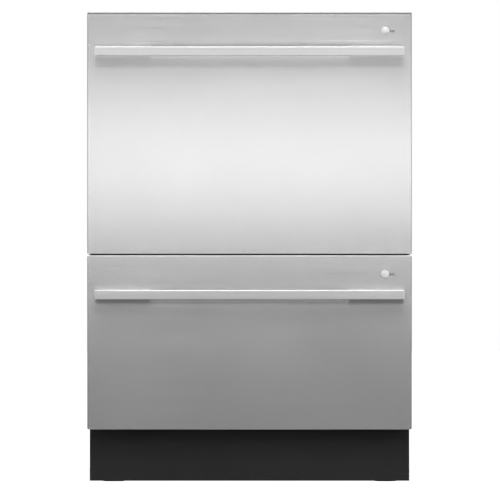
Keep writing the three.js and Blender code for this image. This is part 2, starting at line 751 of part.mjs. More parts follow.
/** The rings of a rounded lower edge for `loft`, from its bottom up. */
function roundedEdge(bottom, inset, radius) {
  const STEPS = 2;
  return Array.from({ length: STEPS + 1 }, (_, i) => {
    const a = ((i / STEPS) * Math.PI) / 2;
    return [bottom + radius * (1 - Math.cos(a)), inset + radius * (1 - Math.sin(a))];
  });
}

/** The moulded tub: rim flange, rounded floor, sump well, and the two ledges that carry the front. */
function tub(prefix, rimTop) {
  const w = TUB_WALL;
  const round = TUB_BOTTOM_ROUND;
  const shell = loft(tubHalfX, tubHalfY, tubMidY, TUB_CORNER, [
    ...roundedEdge(tubBottom, 0, round),
    [rimTop - RIM_THICKNESS, 0],
    [rimTop - RIM_THICKNESS, -RIM_FLANGE],
    [rimTop, -RIM_FLANGE],
  ]);
  const cavity = loft(tubHalfX, tubHalfY, tubMidY, TUB_CORNER, [
    ...roundedEdge(tubFloor, w, round),
    [rimTop + PAST, w],
  ]);
  const ledgeHalf = tubHalfX - LEDGE_SIDE_INSET;
  const ledge = (z0, z1) =>
    block([-ledgeHalf, frontBackY + SEAT_GAP, z0], [ledgeHalf, tubFrontY + w / 2, z1]);
  const sumpBottom = tubBottom - SUMP_DEPTH;
  const well = post(0, tubMidY, sumpBottom, tubBottom + w / 2, SUMP_RADIUS, 24);
  const wellHollow = post(0, tubMidY, sumpBottom + w, tubFloor + round, SUMP_RADIUS - w, 24);
  const shaftBore = SHAFT_RADIUS + RUNNING_GAP;
  const shaftHole = post(0, tubMidY, sumpBottom - PAST, sumpBottom + w + PAST, shaftBore, 12);
  const shape = joined([
    shell,
    ledge(rimTop - LEDGE_TOP_HEIGHT, rimTop),
    ledge(tubBottom, tubBottom + LEDGE_BOTTOM_HEIGHT),
    well,
  ])
    .subtract(cavity)
    .subtract(wellHollow)
    .subtract(shaftHole);
  return piece(`${prefix}_tub`, shape, tubPlastic);
}

/** The flat wash motor under the sump, with the shaft that carries the spray arm. */
function washMotor(prefix) {
  const top = MOTOR_RISE + MOTOR_HEIGHT;
  const rings = [
    [MOTOR_RISE, MOTOR_RADIUS - MOTOR_BEVEL],
    [MOTOR_RISE + MOTOR_BEVEL, MOTOR_RADIUS],
    [top, MOTOR_RADIUS],
  ];
  const profile = [
    new THREE.Vector2(0, MOTOR_RISE),
    ...rings.map(([z, r]) => new THREE.Vector2(r, z)),
    new THREE.Vector2(0, top),
  ];
  const body = new THREE.LatheGeometry(profile, 24);
  body.rotateX(Math.PI / 2);
  body.translate(0, tubMidY, 0);
  const shaft = post(0, tubMidY, top - ROOT, armBottom + ARM_THICKNESS / 2, SHAFT_RADIUS, 12);
  return piece(`${prefix}_wash_motor`, solid(body).add(shaft), motorShell);
}

/** The filter plate that covers the tub floor, with a hole for the hub and a turning grip at the back. */
function filterPlate(prefix) {
  const halfX = cavityHalfX - FILTER_EDGE_GAP;
  const halfY = cavityHalfY - FILTER_EDGE_GAP;
  const corner = TUB_CORNER - TUB_WALL;
  const z0 = tubFloor + SEAT_GAP;
  const outer = loft(halfX, halfY, tubMidY, corner, [[z0, 0], [filterTop, 0]]);
  const under = loft(halfX, halfY, tubMidY, corner, [
    [z0 - PAST, FILTER_SHEET],
    [filterTop - FILTER_SHEET, FILTER_SHEET],
  ]);
  const hubHole = post(0, tubMidY, z0 - PAST, filterTop + PAST, FILTER_HUB_RADIUS);
  const knobY = tubMidY + FILTER_KNOB_OFFSET;
  const knobTop = filterTop + FILTER_KNOB_HEIGHT;
  const grip = FILTER_GRIP_THICKNESS / 2;
  const knob = post(0, knobY, filterTop - FILTER_SHEET / 2, knobTop, FILTER_KNOB_RADIUS)
    .subtract(post(0, knobY, filterTop, knobTop + PAST, FILTER_KNOB_RADIUS - FILTER_SHEET))
    .add(block(
      [-FILTER_KNOB_RADIUS + ROOT, knobY - grip, filterTop - FILTER_SHEET / 2],
      [FILTER_KNOB_RADIUS - ROOT, knobY + grip, knobTop],
    ));
  return piece(`${prefix}_filter_plate`, outer.subtract(under).subtract(hubHole).add(knob), greyPlastic);
}

/** The two-bladed spray arm with its hub, which turns on the motor's shaft. */
function sprayArm(prefix) {
  const outline = new THREE.Shape();
  const tip = ARM_RADIUS - ARM_TIP_HALF_WIDTH;
  outline.moveTo(-tip, -ARM_TIP_HALF_WIDTH);
  outline.lineTo(0, -ARM_ROOT_HALF_WIDTH);
  outline.lineTo(tip, -ARM_TIP_HALF_WIDTH);
  outline.absarc(tip, 0, ARM_TIP_HALF_WIDTH, -Math.PI / 2, Math.PI / 2, false);
  outline.lineTo(0, ARM_ROOT_HALF_WIDTH);
  outline.lineTo(-tip, ARM_TIP_HALF_WIDTH);
  outline.absarc(-tip, 0, ARM_TIP_HALF_WIDTH, Math.PI / 2, 1.5 * Math.PI, false);
  const hubBottom = filterTop - armBottom - FILTER_HEIGHT;
  const shaftEnd = ARM_THICKNESS / 2 + SEAT_GAP;
  const arm = slab(outline, 0, 0, 0, ARM_THICKNESS, 4)
    .add(post(0, 0, hubBottom, ARM_THICKNESS + ARM_HUB_RISE, ARM_HUB_RADIUS))
    .subtract(post(0, 0, hubBottom - PAST, shaftEnd, SHAFT_RADIUS + SEAT_GAP, 16));
  const mesh = piece(`${prefix}_spray_arm`, arm, greyPlastic);
  mesh.position.set(0, tubMidY, armBottom);
  return mesh;
}

// ---------- Racks ----------

/** A wire of square section between two corners, grown by half a wire across its run. */
const wire = (from, to) => {
  const h = WIRE / 2;
  const low = from.map((v, i) => Math.min(v, to[i]) - h);
  const high = from.map((v, i) => Math.max(v, to[i]) + h);
  return block(low, high);
};

/** A rounded wire hoop around the rack at one height. */
function hoop(z) {
  const outline = roundedShape(rackHalfX, rackHalfY, RACK_CORNER);
  outline.holes.push(roundedShape(rackHalfX - WIRE, rackHalfY - WIRE, RACK_CORNER - WIRE));
  return slab(outline, 0, rackMidY, z, z + WIRE, HOOP_CORNER_STEPS);
}

/** `count` places spread evenly between the rounded corners of a side. */
const spread = (count, half) => {
  const reach = half - RACK_CORNER - WIRE;
  return Array.from({ length: count }, (_, i) => -reach + (2 * reach * i) / (count - 1));
};

/** A clip on the rack that a rod along X runs in. */
function foldClip(x, y) {
  const r = ROD_RADIUS + CLIP_WALL;
  return block(
    [x - CLIP_WIDTH / 2, y - r, rackBottom + WIRE],
    [x + CLIP_WIDTH / 2, y + r, foldRodZ + r],
  ).subtract(rod(y, foldRodZ, x - CLIP_WIDTH, x + CLIP_WIDTH, ROD_RADIUS + SEAT_GAP, 12));
}

/** Height of the cup shelf's rod above the bottom of a front. */
const cupRodZ = (rackTop) => rackTop - CUP_SHELF_DEPTH - CUP_TOP_GAP;

/** A clip on the rack's left wall that the cup shelf's rod runs in. */
function cupClip(y, z) {
  const r = ROD_RADIUS + CLIP_WALL;
  return block(
    [-rackHalfX + WIRE / 2, y - CLIP_WIDTH / 2, z - r],
    [cupRodX + r, y + CLIP_WIDTH / 2, z + r],
  ).subtract(spigot(cupRodX, z, y - CLIP_WIDTH, y + CLIP_WIDTH, ROD_RADIUS + SEAT_GAP, 12));
}

const foldRodStart = TINE_ROW_START;
const foldRodEnd = TINE_ROW_START + FOLD_TINES * TINE_SPACING;
const cupRodY0 = rackMidY - CUP_ROD_LENGTH / 2;
const cupRodY1 = rackMidY + CUP_ROD_LENGTH / 2;

/** The dish rack: hoops around crossing wires that turn up the walls, fixed tines, clips and legs. */
function rack(prefix, rackTop) {
  const h = WIRE / 2;
  const inset = WIRE - WELD + h; // the hoops lie outside the upright wires
  const sideX = rackHalfX - inset;
  const frontY = rackFrontY + inset;
  const backY = rackBackY - inset;
  const lowZ = rackBottom + h;
  const crossZ = lowZ + WIRE - WELD;
  const highZ = rackTop - WELD - h;
  const parts = [hoop(rackTop - WIRE)];

  const lowHoopZ = rackBottom + HOOP_RISE;
  const shelfHoopZ = cupRodZ(rackTop) - h;
  const steps = Math.ceil((shelfHoopZ - lowHoopZ) / HOOP_SPACING);
  for (let i = 0; i <= steps; i++) parts.push(hoop(lowHoopZ + ((shelfHoopZ - lowHoopZ) * i) / steps));

  for (const x of spread(RACK_WIRES_X, rackHalfX)) {
    parts.push(wire([x, frontY, lowZ], [x, backY, lowZ]));
    parts.push(wire([x, frontY, lowZ], [x, frontY, highZ]));
    parts.push(wire([x, backY, lowZ], [x, backY, highZ]));
  }
  const tineRows = [rackFrontY + FRONT_TINE_ROW, rearTineY];
  const plainRows = [rackFrontY + FRONT_CROSS_WIRE];
  for (let i = 1; i <= WIRES_BEHIND_FOLD; i++) {
    plainRows.push(foldRowY + ((rearTineY - foldRowY) * i) / (WIRES_BEHIND_FOLD + 1));
  }
  for (const y of [...plainRows, foldRowY, ...tineRows]) {
    parts.push(wire([-sideX, y, crossZ], [sideX, y, crossZ]));
    parts.push(wire([-sideX, y, crossZ], [-sideX, y, highZ]));
    parts.push(wire([sideX, y, crossZ], [sideX, y, highZ]));
  }
  for (const y of tineRows) {
    for (let i = 0; i < TINES_PER_ROW; i++) {
      const x = TINE_ROW_START + i * TINE_SPACING;
      parts.push(wire([x, y, crossZ], [x, y, crossZ + TINE_HEIGHT]));
    }
  }
  for (const x of [foldRodStart, foldRodEnd]) parts.push(foldClip(x, foldRowY));
  for (const y of [cupRodY0 + CLIP_WIDTH, cupRodY1 - CLIP_WIDTH]) {
    parts.push(cupClip(y, cupRodZ(rackTop)));
  }
  const legX = spread(RACK_WIRES_X, rackHalfX).at(-1);
  for (const x of [-legX, legX]) {
    for (const y of [frontY + RACK_LEG_INSET, backY - RACK_LEG_INSET]) {
      parts.push(wire([x, y, filterTop + SEAT_GAP + h], [x, y, lowZ]));
    }
  }
  return piece(`${prefix}_rack`, joined(parts), rackCoat);
}

/** A row of tines on a rod, which folds down towards the back. */
function foldingTines(prefix) {
  const x0 = foldRodStart - CLIP_WIDTH;
  const x1 = foldRodEnd + CLIP_WIDTH;
  const parts = [rod(0, 0, x0, x1, ROD_RADIUS)];
  const h = WIRE / 2;
  for (let i = 0; i < FOLD_TINES; i++) {
    const x = TINE_ROW_START + (i + 0.5) * TINE_SPACING;
    parts.push(block([x - h, -h, 0], [x + h, h, FOLD_TINE_HEIGHT]));
  }
  const mesh = piece(`${prefix}_folding_tines`, joined(parts), rackCoat);
  mesh.position.set(0, foldRowY, foldRodZ);
  return mesh;
}

/** The cup shelf, folded up against the rack's left wall. */
function cupShelf(prefix, rackTop) {
  const h = WIRE / 2;
  const parts = [spigot(0, 0, cupRodY0, cupRodY1, ROD_RADIUS, 8)];
  const inner0 = cupRodY0 + 3 * CLIP_WIDTH;
  const inner1 = cupRodY1 - 3 * CLIP_WIDTH;
  for (let i = 0; i < CUP_SHELF_WIRES; i++) {
    const y = inner0 + ((inner1 - inner0) * i) / (CUP_SHELF_WIRES - 1);
    parts.push(block([-h, y - h, 0], [h, y + h, CUP_SHELF_DEPTH - h]));
  }
  const bar = [[-h, inner0 - 3 * h, CUP_SHELF_DEPTH - WIRE], [h, inner1 + 3 * h, CUP_SHELF_DEPTH]];
  parts.push(block(...bar));
  const mesh = piece(`${prefix}_cup_shelf`, joined(parts), rackCoat);
  mesh.position.set(cupRodX, 0, cupRodZ(rackTop));
  return mesh;
}

/** The open cutlery basket, with cells and a grip along its middle. */
function cutleryBasket(prefix) {
  const x1 = rackHalfX - 2 * WIRE - BASKET_EDGE_GAP;
  const x0 = x1 - BASKET_WIDTH;
  const y0 = rackMidY + BASKET_Y - BASKET_LENGTH / 2;
  const y1 = y0 + BASKET_LENGTH;
  const z0 = rackWireTop + SEAT_GAP;
  const z1 = z0 + BASKET_HEIGHT;
  const w = BASKET_WALL;
  let shape = block([x0, y0, z0], [x1, y1, z1]);
  const cell = (BASKET_LENGTH - w) / BASKET_CELLS;
  for (let i = 0; i < BASKET_CELLS; i++) {
    const start = y0 + w + i * cell;
    shape = shape.subtract(block([x0 + w, start, z0 + w], [x1 - w, start + cell - w, z1 + PAST]));
  }
  const midX = (x0 + x1) / 2;
  const grip = BASKET_GRIP_THICKNESS / 2;
  const barZ = z1 + BASKET_GRIP_HEIGHT;
  const [first, last] = [1, BASKET_CELLS - 1].map((i) => y0 + i * cell + w / 2);
  for (const y of [first, last]) {
    shape = shape.add(block([midX - grip, y - w, z1 - BASKET_GRIP_ROOT], [midX + grip, y + w, barZ]));
  }
  shape = shape.add(block([midX - grip, first - w, barZ - grip], [midX + grip, last + w, barZ + grip]));
  return piece(`${prefix}_cutlery_basket`, shape, greyPlastic);
}

// ---------- Detergent dispenser ----------

/** Dispenser body, its sliding flap and its rinse-aid cap, on the tub's inside front wall. */
function dispenser(prefix, rimTop) {
  const group = new THREE.Group();
  const halfW = DISPENSER_WIDTH / 2;
  const halfH = DISPENSER_HEIGHT / 2;
  const face = DISPENSER_DEPTH;
  const flapHalfW = CUP_WIDTH / 2 + FLAP_MARGIN;
  const flapHalfH = CUP_HEIGHT / 2 + FLAP_MARGIN;
  const guide = (side) => {
    const near = side * (flapHalfH + SEAT_GAP);
    const far = near + side * GUIDE_WIDTH;
    return block(
      [CUP_X - flapHalfW - FLAP_TRAVEL, face - ROOT, Math.min(near, far)],
      [CUP_X + flapHalfW, face + FLAP_THICKNESS + SEAT_GAP, Math.max(near, far)],
    );
  };
  const stemBottom = face - CAP_STEM_LENGTH;
  const body = joined([block([-halfW, 0, -halfH], [halfW, face, halfH]), guide(-1), guide(1)])
    .subtract(block(
      [CUP_X - CUP_WIDTH / 2, face - CUP_DEPTH, -CUP_HEIGHT / 2],
      [CUP_X + CUP_WIDTH / 2, face + PAST, CUP_HEIGHT / 2],
    ))
    .subtract(spigot(CAP_X, 0, stemBottom - SEAT_GAP, face + PAST, CAP_STEM_RADIUS + SEAT_GAP, 20));
  group.add(piece(`${prefix}_detergent_dispenser`, body, greyPlastic));

  const flapY = face + SEAT_GAP;
  const flapEnd = flapY + FLAP_THICKNESS;
  const gripX = CUP_X - flapHalfW + FLAP_GRIP_INSET;
  const flap = block([CUP_X - flapHalfW, flapY, -flapHalfH], [CUP_X + flapHalfW, flapEnd, flapHalfH])
    .add(block(
      [gripX, flapY + ROOT, -FLAP_GRIP_HEIGHT / 2],
      [gripX + FLAP_GRIP_WIDTH, flapEnd + FLAP_GRIP_PROUD, FLAP_GRIP_HEIGHT / 2],
    ));
  group.add(piece(`${prefix}_dispenser_flap`, flap, lidPlastic));

  const capEnd = flapY + CAP_THICKNESS;
  const cap = spigot(0, 0, flapY, capEnd, CAP_RADIUS, 20)
    .add(spigot(0, 0, stemBottom, flapY + ROOT, CAP_STEM_RADIUS, 12))
    .add(block(
      [-CAP_GRIP_LENGTH / 2, capEnd - ROOT, -CAP_GRIP_THICKNESS / 2],
      [CAP_GRIP_LENGTH / 2, capEnd + CAP_GRIP_PROUD, CAP_GRIP_THICKNESS / 2],
    ));
  const capMesh = piece(`${prefix}_rinse_aid_cap`, cap, blackPlastic);
  capMesh.position.x = CAP_X;
  group.add(capMesh);

  group.position.set(DISPENSER_X, cavityFrontY + SEAT_GAP, rimTop - DISPENSER_DROP);
  return group;
}

// ---------- Wash lid ----------

/** The lid tray, its seal and the two lifters that lower it onto the rim. */
function washLid(prefix, rimTop) {
  const group = new THREE.Group();
  const lidBottom = rimTop + rimDrop - lidDrop;
  const sealBottom = lidBottom - SEAT_GAP - SEAL_HEIGHT;
  const lidTop = lidBottom + LID_THICKNESS;
  const earTop = lidBottom + EAR_HEIGHT;
  const earHalf = EAR_WIDTH / 2;
  const earEnd = slideWallX - SEAT_GAP;

  const ear = (x0, x1) =>
    block([x0, tubMidY - earHalf, lidBottom], [x1, tubMidY + earHalf, earTop]);
  const tray = loft(lidHalfX, lidHalfY, tubMidY, TUB_CORNER, [[lidBottom, 0], [lidTop, 0]])
    .subtract(loft(lidHalfX, lidHalfY, tubMidY, TUB_CORNER, [
      [lidBottom + LID_FLOOR, LID_WALL],
      [lidTop + PAST, LID_WALL],
    ]))
    .add(ear(lidHalfX - LID_WALL / 2, earEnd))
    .add(ear(-earEnd, -lidHalfX + LID_WALL / 2));
  group.add(piece(`${prefix}_lid`, tray, lidPlastic));

  const sealTop = sealBottom + SEAL_HEIGHT;
  const outerCorner = sealInnerCorner + SEAL_WIDTH;
  const outer = loft(sealInnerX + SEAL_WIDTH, sealInnerY + SEAL_WIDTH, tubMidY, outerCorner, [
    [sealBottom, SEAL_CHAMFER],
    [sealBottom + SEAL_CHAMFER, 0],
    [sealTop, 0],
  ]);
  const inner = loft(sealInnerX, sealInnerY, tubMidY, sealInnerCorner, [
    [sealBottom - PAST, 0],
    [sealTop + PAST, 0],
  ]);
  group.add(piece(`${prefix}_lid_seal`, outer.subtract(inner), sealRubber));

  for (const [hand, side] of [["left", -1], ["right", 1]]) {
    const xs = [side * lifterInnerX, side * slideWallX];
    const x0 = Math.min(...xs);
    const x1 = Math.max(...xs);
    const halfL = LIFTER_LENGTH / 2;
    const slot = earHalf + SEAT_GAP;
    const housing = block(
      [x0, tubMidY - halfL, rimTop - LIFTER_DEPTH_BELOW],
      [x1, tubMidY + halfL, lidTop - CABINET_FOLD],
    ).subtract(block(
      [x0 - PAST, tubMidY - slot, lidBottom - LID_LIFT - SEAT_GAP],
      [x1 + PAST, tubMidY + slot, lidTop + PAST],
    ));
    group.add(piece(`${prefix}_${hand}_lid_lifter`, housing, greyPlastic));
  }
  return group;
}

// ---------- Whole machine ----------

/** One complete drawer, with its slides and its wash lid, above the bottom of its front. */
function drawer(prefix, frontBottom, frontHeight) {
  const rimTop = frontHeight - rimDrop;
  const rackTop = rimTop - RACK_TOP_DROP;
  const group = new THREE.Group();
  group.add(
    frontPanel(prefix, frontHeight),
    handle(prefix, frontHeight),
    startButton(prefix, frontHeight),
    controlPanel(prefix, rimTop),
    tub(prefix, rimTop),
    washMotor(prefix),
    filterPlate(prefix),
    sprayArm(prefix),
    rack(prefix, rackTop),
    foldingTines(prefix),
    cupShelf(prefix, rackTop),
    cutleryBasket(prefix),
    dispenser(prefix, rimTop),
    slides(prefix),
    washLid(prefix, rimTop),
  );
  group.position.z = frontBottom;
  return group;
}

const machine = new THREE.Group();
machine.add(
  cabinetWrapper(),
  rearPanel(),
  baseTray(),
  middleRail(),
  toeKick(),
  serviceBlock(),
  ...footPlaces().map(levellingFoot),
  drawer("upper", upperFrontBottom, UPPER_FRONT_HEIGHT),
  drawer("lower", lowerFrontBottom, LOWER_FRONT_HEIGHT),
);

export default machine;
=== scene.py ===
"""A built-in dishwasher with two wash drawers behind brushed steel fronts, on a black toe kick.

Metres, +Z up, +Y towards the wall behind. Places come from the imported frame; each class holds the sizes
that only the finer surface needs.
"""

import logging
import math
from collections.abc import Callable, Iterable, Sequence
from dataclasses import dataclass
from enum import Enum

import bmesh
import bpy
from bmesh.types import BMEdge, BMFace, BMVert
from bpy.types import Node, NodeSocket, NodeTree
from mathutils import Matrix, Vector


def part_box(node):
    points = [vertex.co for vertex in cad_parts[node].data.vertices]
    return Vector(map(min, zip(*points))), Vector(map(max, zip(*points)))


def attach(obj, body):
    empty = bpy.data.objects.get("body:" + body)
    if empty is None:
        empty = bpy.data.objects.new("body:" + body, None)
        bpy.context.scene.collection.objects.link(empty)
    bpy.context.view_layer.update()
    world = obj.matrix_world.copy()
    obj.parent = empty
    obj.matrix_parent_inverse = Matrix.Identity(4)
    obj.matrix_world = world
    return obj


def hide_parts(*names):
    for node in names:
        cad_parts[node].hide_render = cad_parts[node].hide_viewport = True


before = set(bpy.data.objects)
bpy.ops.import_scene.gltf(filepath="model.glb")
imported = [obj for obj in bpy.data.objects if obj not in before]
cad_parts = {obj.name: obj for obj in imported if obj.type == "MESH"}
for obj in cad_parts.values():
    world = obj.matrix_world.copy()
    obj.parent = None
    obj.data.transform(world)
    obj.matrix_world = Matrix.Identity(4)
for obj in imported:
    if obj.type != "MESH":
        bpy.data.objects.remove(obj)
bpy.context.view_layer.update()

LOG = logging.getLogger("dishwasher")
MM = 0.001
SEAT_GAP = 0.3 * MM
X_AXIS = Vector((1, 0, 0))
Y_AXIS = Vector((0, 1, 0))
Z_AXIS = Vector((0, 0, 1))
WHITE = (1, 1, 1, 1)

Colour = tuple[float, float, float]
Point = Sequence[float]
# A profile to turn, as (radius, height) points in millimetres.
Profile = Sequence[tuple[float, float]]


class Level(Enum):
    """The two drawers, one above the other."""

    UPPER = "upper"
    LOWER = "lower"


class Side(Enum):
    """The two sides of the machine, as the sign of X."""

    LEFT = -1
    RIGHT = 1


# ----- Node trees -----


class Tree:
    """A shader node tree with short ways to add and join its nodes."""

    def __init__(self, tree: NodeTree) -> None:
        """Keeps the tree that the nodes go into."""
        self.tree = tree

    def add(self, kind: str, **settings: object) -> Node:
        """Adds a node.

        Args:
            kind: the node's type without its ShaderNode prefix.
            settings: properties of the node.

        Returns:
            The new node.
        """
        node = self.tree.nodes.new("ShaderNode" + kind)
        for name, value in settings.items():
            setattr(node, name, value)
        return node

    def put(self, socket: NodeSocket, value: object) -> None:
        """Gives a socket its value.

        Args:
            socket: an input.
            value: another node's socket, which is linked, or a plain value.
        """
        if isinstance(value, NodeSocket):
            self.tree.links.new(value, socket)
        elif value is not None:
            socket.default_value = value

    def filled(self, node: Node, *values: object, **named: object) -> Node:
        """Fills a node's inputs.

        Args:
            node: the node.
            values: the first inputs, in order.
            named: inputs by name, with underscores for spaces.

        Returns:
            The node.
        """
        for socket, value in zip(node.inputs, values):
            self.put(socket, value)
        for name, value in named.items():
            self.put(node.inputs[name.replace("_", " ")], value)
        return node

    def math(self, operation: str, a: object, b: object = None, clamp: bool = False) -> NodeSocket:
        """Adds a Math node and returns its value."""
        return self.filled(self.add("Math", operation=operation, use_clamp=clamp), a, b).outputs[0]

    def eased(self, value: object, share: float, rest: object, operation: str = "ADD") -> NodeSocket:
        """Returns `rest` with a share of the value added to it, or taken from it by SUBTRACT."""
        return self.math(operation, rest, self.math("MULTIPLY", value, share))

    def blended(self, a: object, b: object, share: float, clamp: bool = False) -> NodeSocket:
        """Returns a share of `a` and the rest of `b`."""
        return self.math("ADD", self.math("MULTIPLY", a, share), self.math("MULTIPLY", b, 1 - share), clamp)

    def scaled(self, vector: object, scale: object) -> NodeSocket:
        """Returns the vector with each of its axes scaled."""
        return self.filled(self.add("VectorMath", operation="MULTIPLY"), vector, scale).outputs[0]

    def split(self, vector: object) -> Sequence[NodeSocket]:
        """Returns the vector's three values."""
        return self.filled(self.add("SeparateXYZ"), vector).outputs

    def noise(self, vector: object, scale: object, detail: float = 2.0, roughness: float = 0.5) -> NodeSocket:
        """Adds a Noise Texture and returns its value, from 0 to 1."""
        node = self.add("TexNoise")
        return self.filled(node, Vector=vector, Scale=scale, Detail=detail, Roughness=roughness).outputs["Fac"]

    def ranged(self, value: object, start: Point, end: Point = (0.0, 1.0)) -> NodeSocket:
        """Maps a value from one range to another and clamps it.

        Args:
            value: the value.
            start: the range that it has, as (low, high).
            end: the range that it gets.

        Returns:
            The new value.
        """
        node = self.add("MapRange")
        self.filled(node, Value=value, From_Min=start[0], From_Max=start[1], To_Min=end[0], To_Max=end[1])
        return node.outputs["Result"]

    def mixed(self, factor: object, a: object, b: object) -> NodeSocket:
        """Mixes two colours.

        Args:
            factor: the share of the second one.
            a: the first one.
            b: the second one.

        Returns:
            The result.
        """
        node = self.filled(self.add("Mix", data_type="RGBA"), factor)
        self.put(node.inputs[6], a)
        self.put(node.inputs[7], b)
        return node.outputs[2]

    def bump(self, height: object, strength: float, distance: float) -> NodeSocket:
        """Adds a Bump node and returns its normal."""
        node = self.filled(self.add("Bump"), Strength=strength, Distance=distance, Height=height)
        return node.outputs["Normal"]

    def object_place(self) -> NodeSocket:
        """Returns the Object coordinates, which are the frame's own metres."""
        return self.add("TexCoord").outputs["Object"]


Sockets = dict[str, NodeSocket]
# An effect fills a group's tree. It is given the tree and the group's inputs, and returns its outputs.
Effect = Callable[[Tree, Sockets], Sockets]


def brushed_grain(t: Tree, given: Sockets) -> Sockets:
    """Long fine lines along X, as a belt leaves them, and the slow bands between them."""
    across = given["Across"]
    stretch = t.filled(t.add("CombineXYZ"), given["Along"], across, across)
    place = t.scaled(given["Vector"], stretch.outputs[0])
    fine = t.noise(place, 1.0, 5.0, 0.62)
    wide = t.noise(t.scaled(place, (0.45, 0.22, 0.22)), 1.0, 3.0, 0.6)
    return {"Lines": t.ranged(fine, (0.25, 0.75)), "Bands": t.ranged(wide, (0.3, 0.7))}


def cloudy(t: Tree, given: Sockets) -> Sockets:
    """Slow uneven patches, as of handling, wiping or drying water."""
    scale = t.math("DIVIDE", 1.0, given["Size"])
    slow = t.noise(given["Vector"], scale, 4.0)
    quick = t.noise(given["Vector"], t.math("MULTIPLY", scale, 9.0), 3.0)
    return {"Shade": t.ranged(slow, (0.3, 0.7)), "Spots": t.ranged(quick, (0.56, 0.68))}


def pebbled(t: Tree, given: Sockets) -> Sockets:
    """The fine eroded texture of a moulding tool, with a few faint flow lines."""
    place, scale = given["Vector"], t.math("DIVIDE", 1.0, given["Size"])
    cells = t.filled(t.add("TexVoronoi", feature="SMOOTH_F1"), Vector=place, Scale=scale)
    flow = t.noise(t.scaled(place, (6.0, 6.0, 22.0)), 1.0, 3.0)
    height = t.eased(cells.outputs["Distance"], 0.6, t.noise(place, scale, 3.0))
    return {"Height": height, "Flow": t.ranged(flow, (0.3, 0.7))}


def spangled(t: Tree, given: Sockets) -> Sockets:
    """The flat crystals of a zinc coat, each a little lighter or darker than the next."""
    place, scale = given["Vector"], t.math("DIVIDE", 1.0, given["Size"])
    wobble = t.filled(t.add("TexNoise"), Vector=place, Scale=t.math("MULTIPLY", scale, 1.5))
    push = t.scaled(wobble.outputs["Color"], (0.006, 0.006, 0.006))
    bent = t.filled(t.add("VectorMath", operation="ADD"), place, push)
    cells = t.filled(t.add("TexVoronoi", feature="F1"), Vector=bent.outputs[0], Scale=scale)
    tints = t.split(cells.outputs["Color"])
    return {"Shade": tints[0], "Height": t.eased(cells.outputs["Distance"], 0.4, tints[1])}


def perforated(t: Tree, given: Sockets) -> Sockets:
    """A square pattern of round holes in the XY plane."""
    squares = []
    for value in t.split(given["Vector"])[:2]:
        off = t.math("SUBTRACT", t.math("FRACT", t.math("DIVIDE", value, given["Pitch"])), 0.5)
        squares.append(t.math("MULTIPLY", off, off))
    distance = t.math("SQRT", t.math("ADD", *squares))
    return {"Hole": t.ranged(t.math("SUBTRACT", given["Radius"], distance), (-0.03, 0.03))}


def scuffed(t: Tree, given: Sockets) -> Sockets:
    """Sparse hairline scratches in two directions."""
    scale = t.math("DIVIDE", 1.0, given["Length"])
    marks = []
    for turn in (0.4, 2.1):
        mapping = t.filled(t.add("Mapping"), Vector=given["Vector"], Rotation=(turn, turn * 0.7, turn))
        noise = t.noise(t.scaled(mapping.outputs[0], (1.0, 30.0, 30.0)), scale, 1.0)
        marks.append(t.ranged(noise, (0.70, 0.74)))
    return {"Scratch": t.math("MAXIMUM", *marks)}


def folded(t: Tree, given: Sockets) -> Sockets:
    """Masks for the painted shade on the outermost strips of a wide front, both sides and the top, and for the
    painted highlight along the line where they bend.
    """
    x, _, z = t.split(given["Vector"])
    over_side = t.math("SUBTRACT", t.math("ABSOLUTE", x), given["Half Width"])
    over = t.math("MAXIMUM", over_side, t.math("SUBTRACT", z, given["Top"]))
    fold = t.ranged(t.math("DIVIDE", over, given["Blur"]), (-0.5, 0.5))
    wider = t.ranged(t.math("DIVIDE", t.math("ADD", over, given["Line"]), given["Blur"]), (-0.5, 0.5))
    return {"Fold": fold, "Bend": t.math("SUBTRACT", wider, fold)}


# Each effect and the inputs of its group, with their defaults.
EFFECTS = {
    brushed_grain: {"Along": 3.0, "Across": 900.0},
    cloudy: {"Size": 0.1},
    pebbled: {"Size": 0.0008},
    spangled: {"Size": 0.012},
    perforated: {"Pitch": 0.006, "Radius": 0.32},
    scuffed: {"Length": 0.05},
    folded: {"Half Width": 0.3, "Top": 0.86, "Line": 0.002, "Blur": 0.001},
}


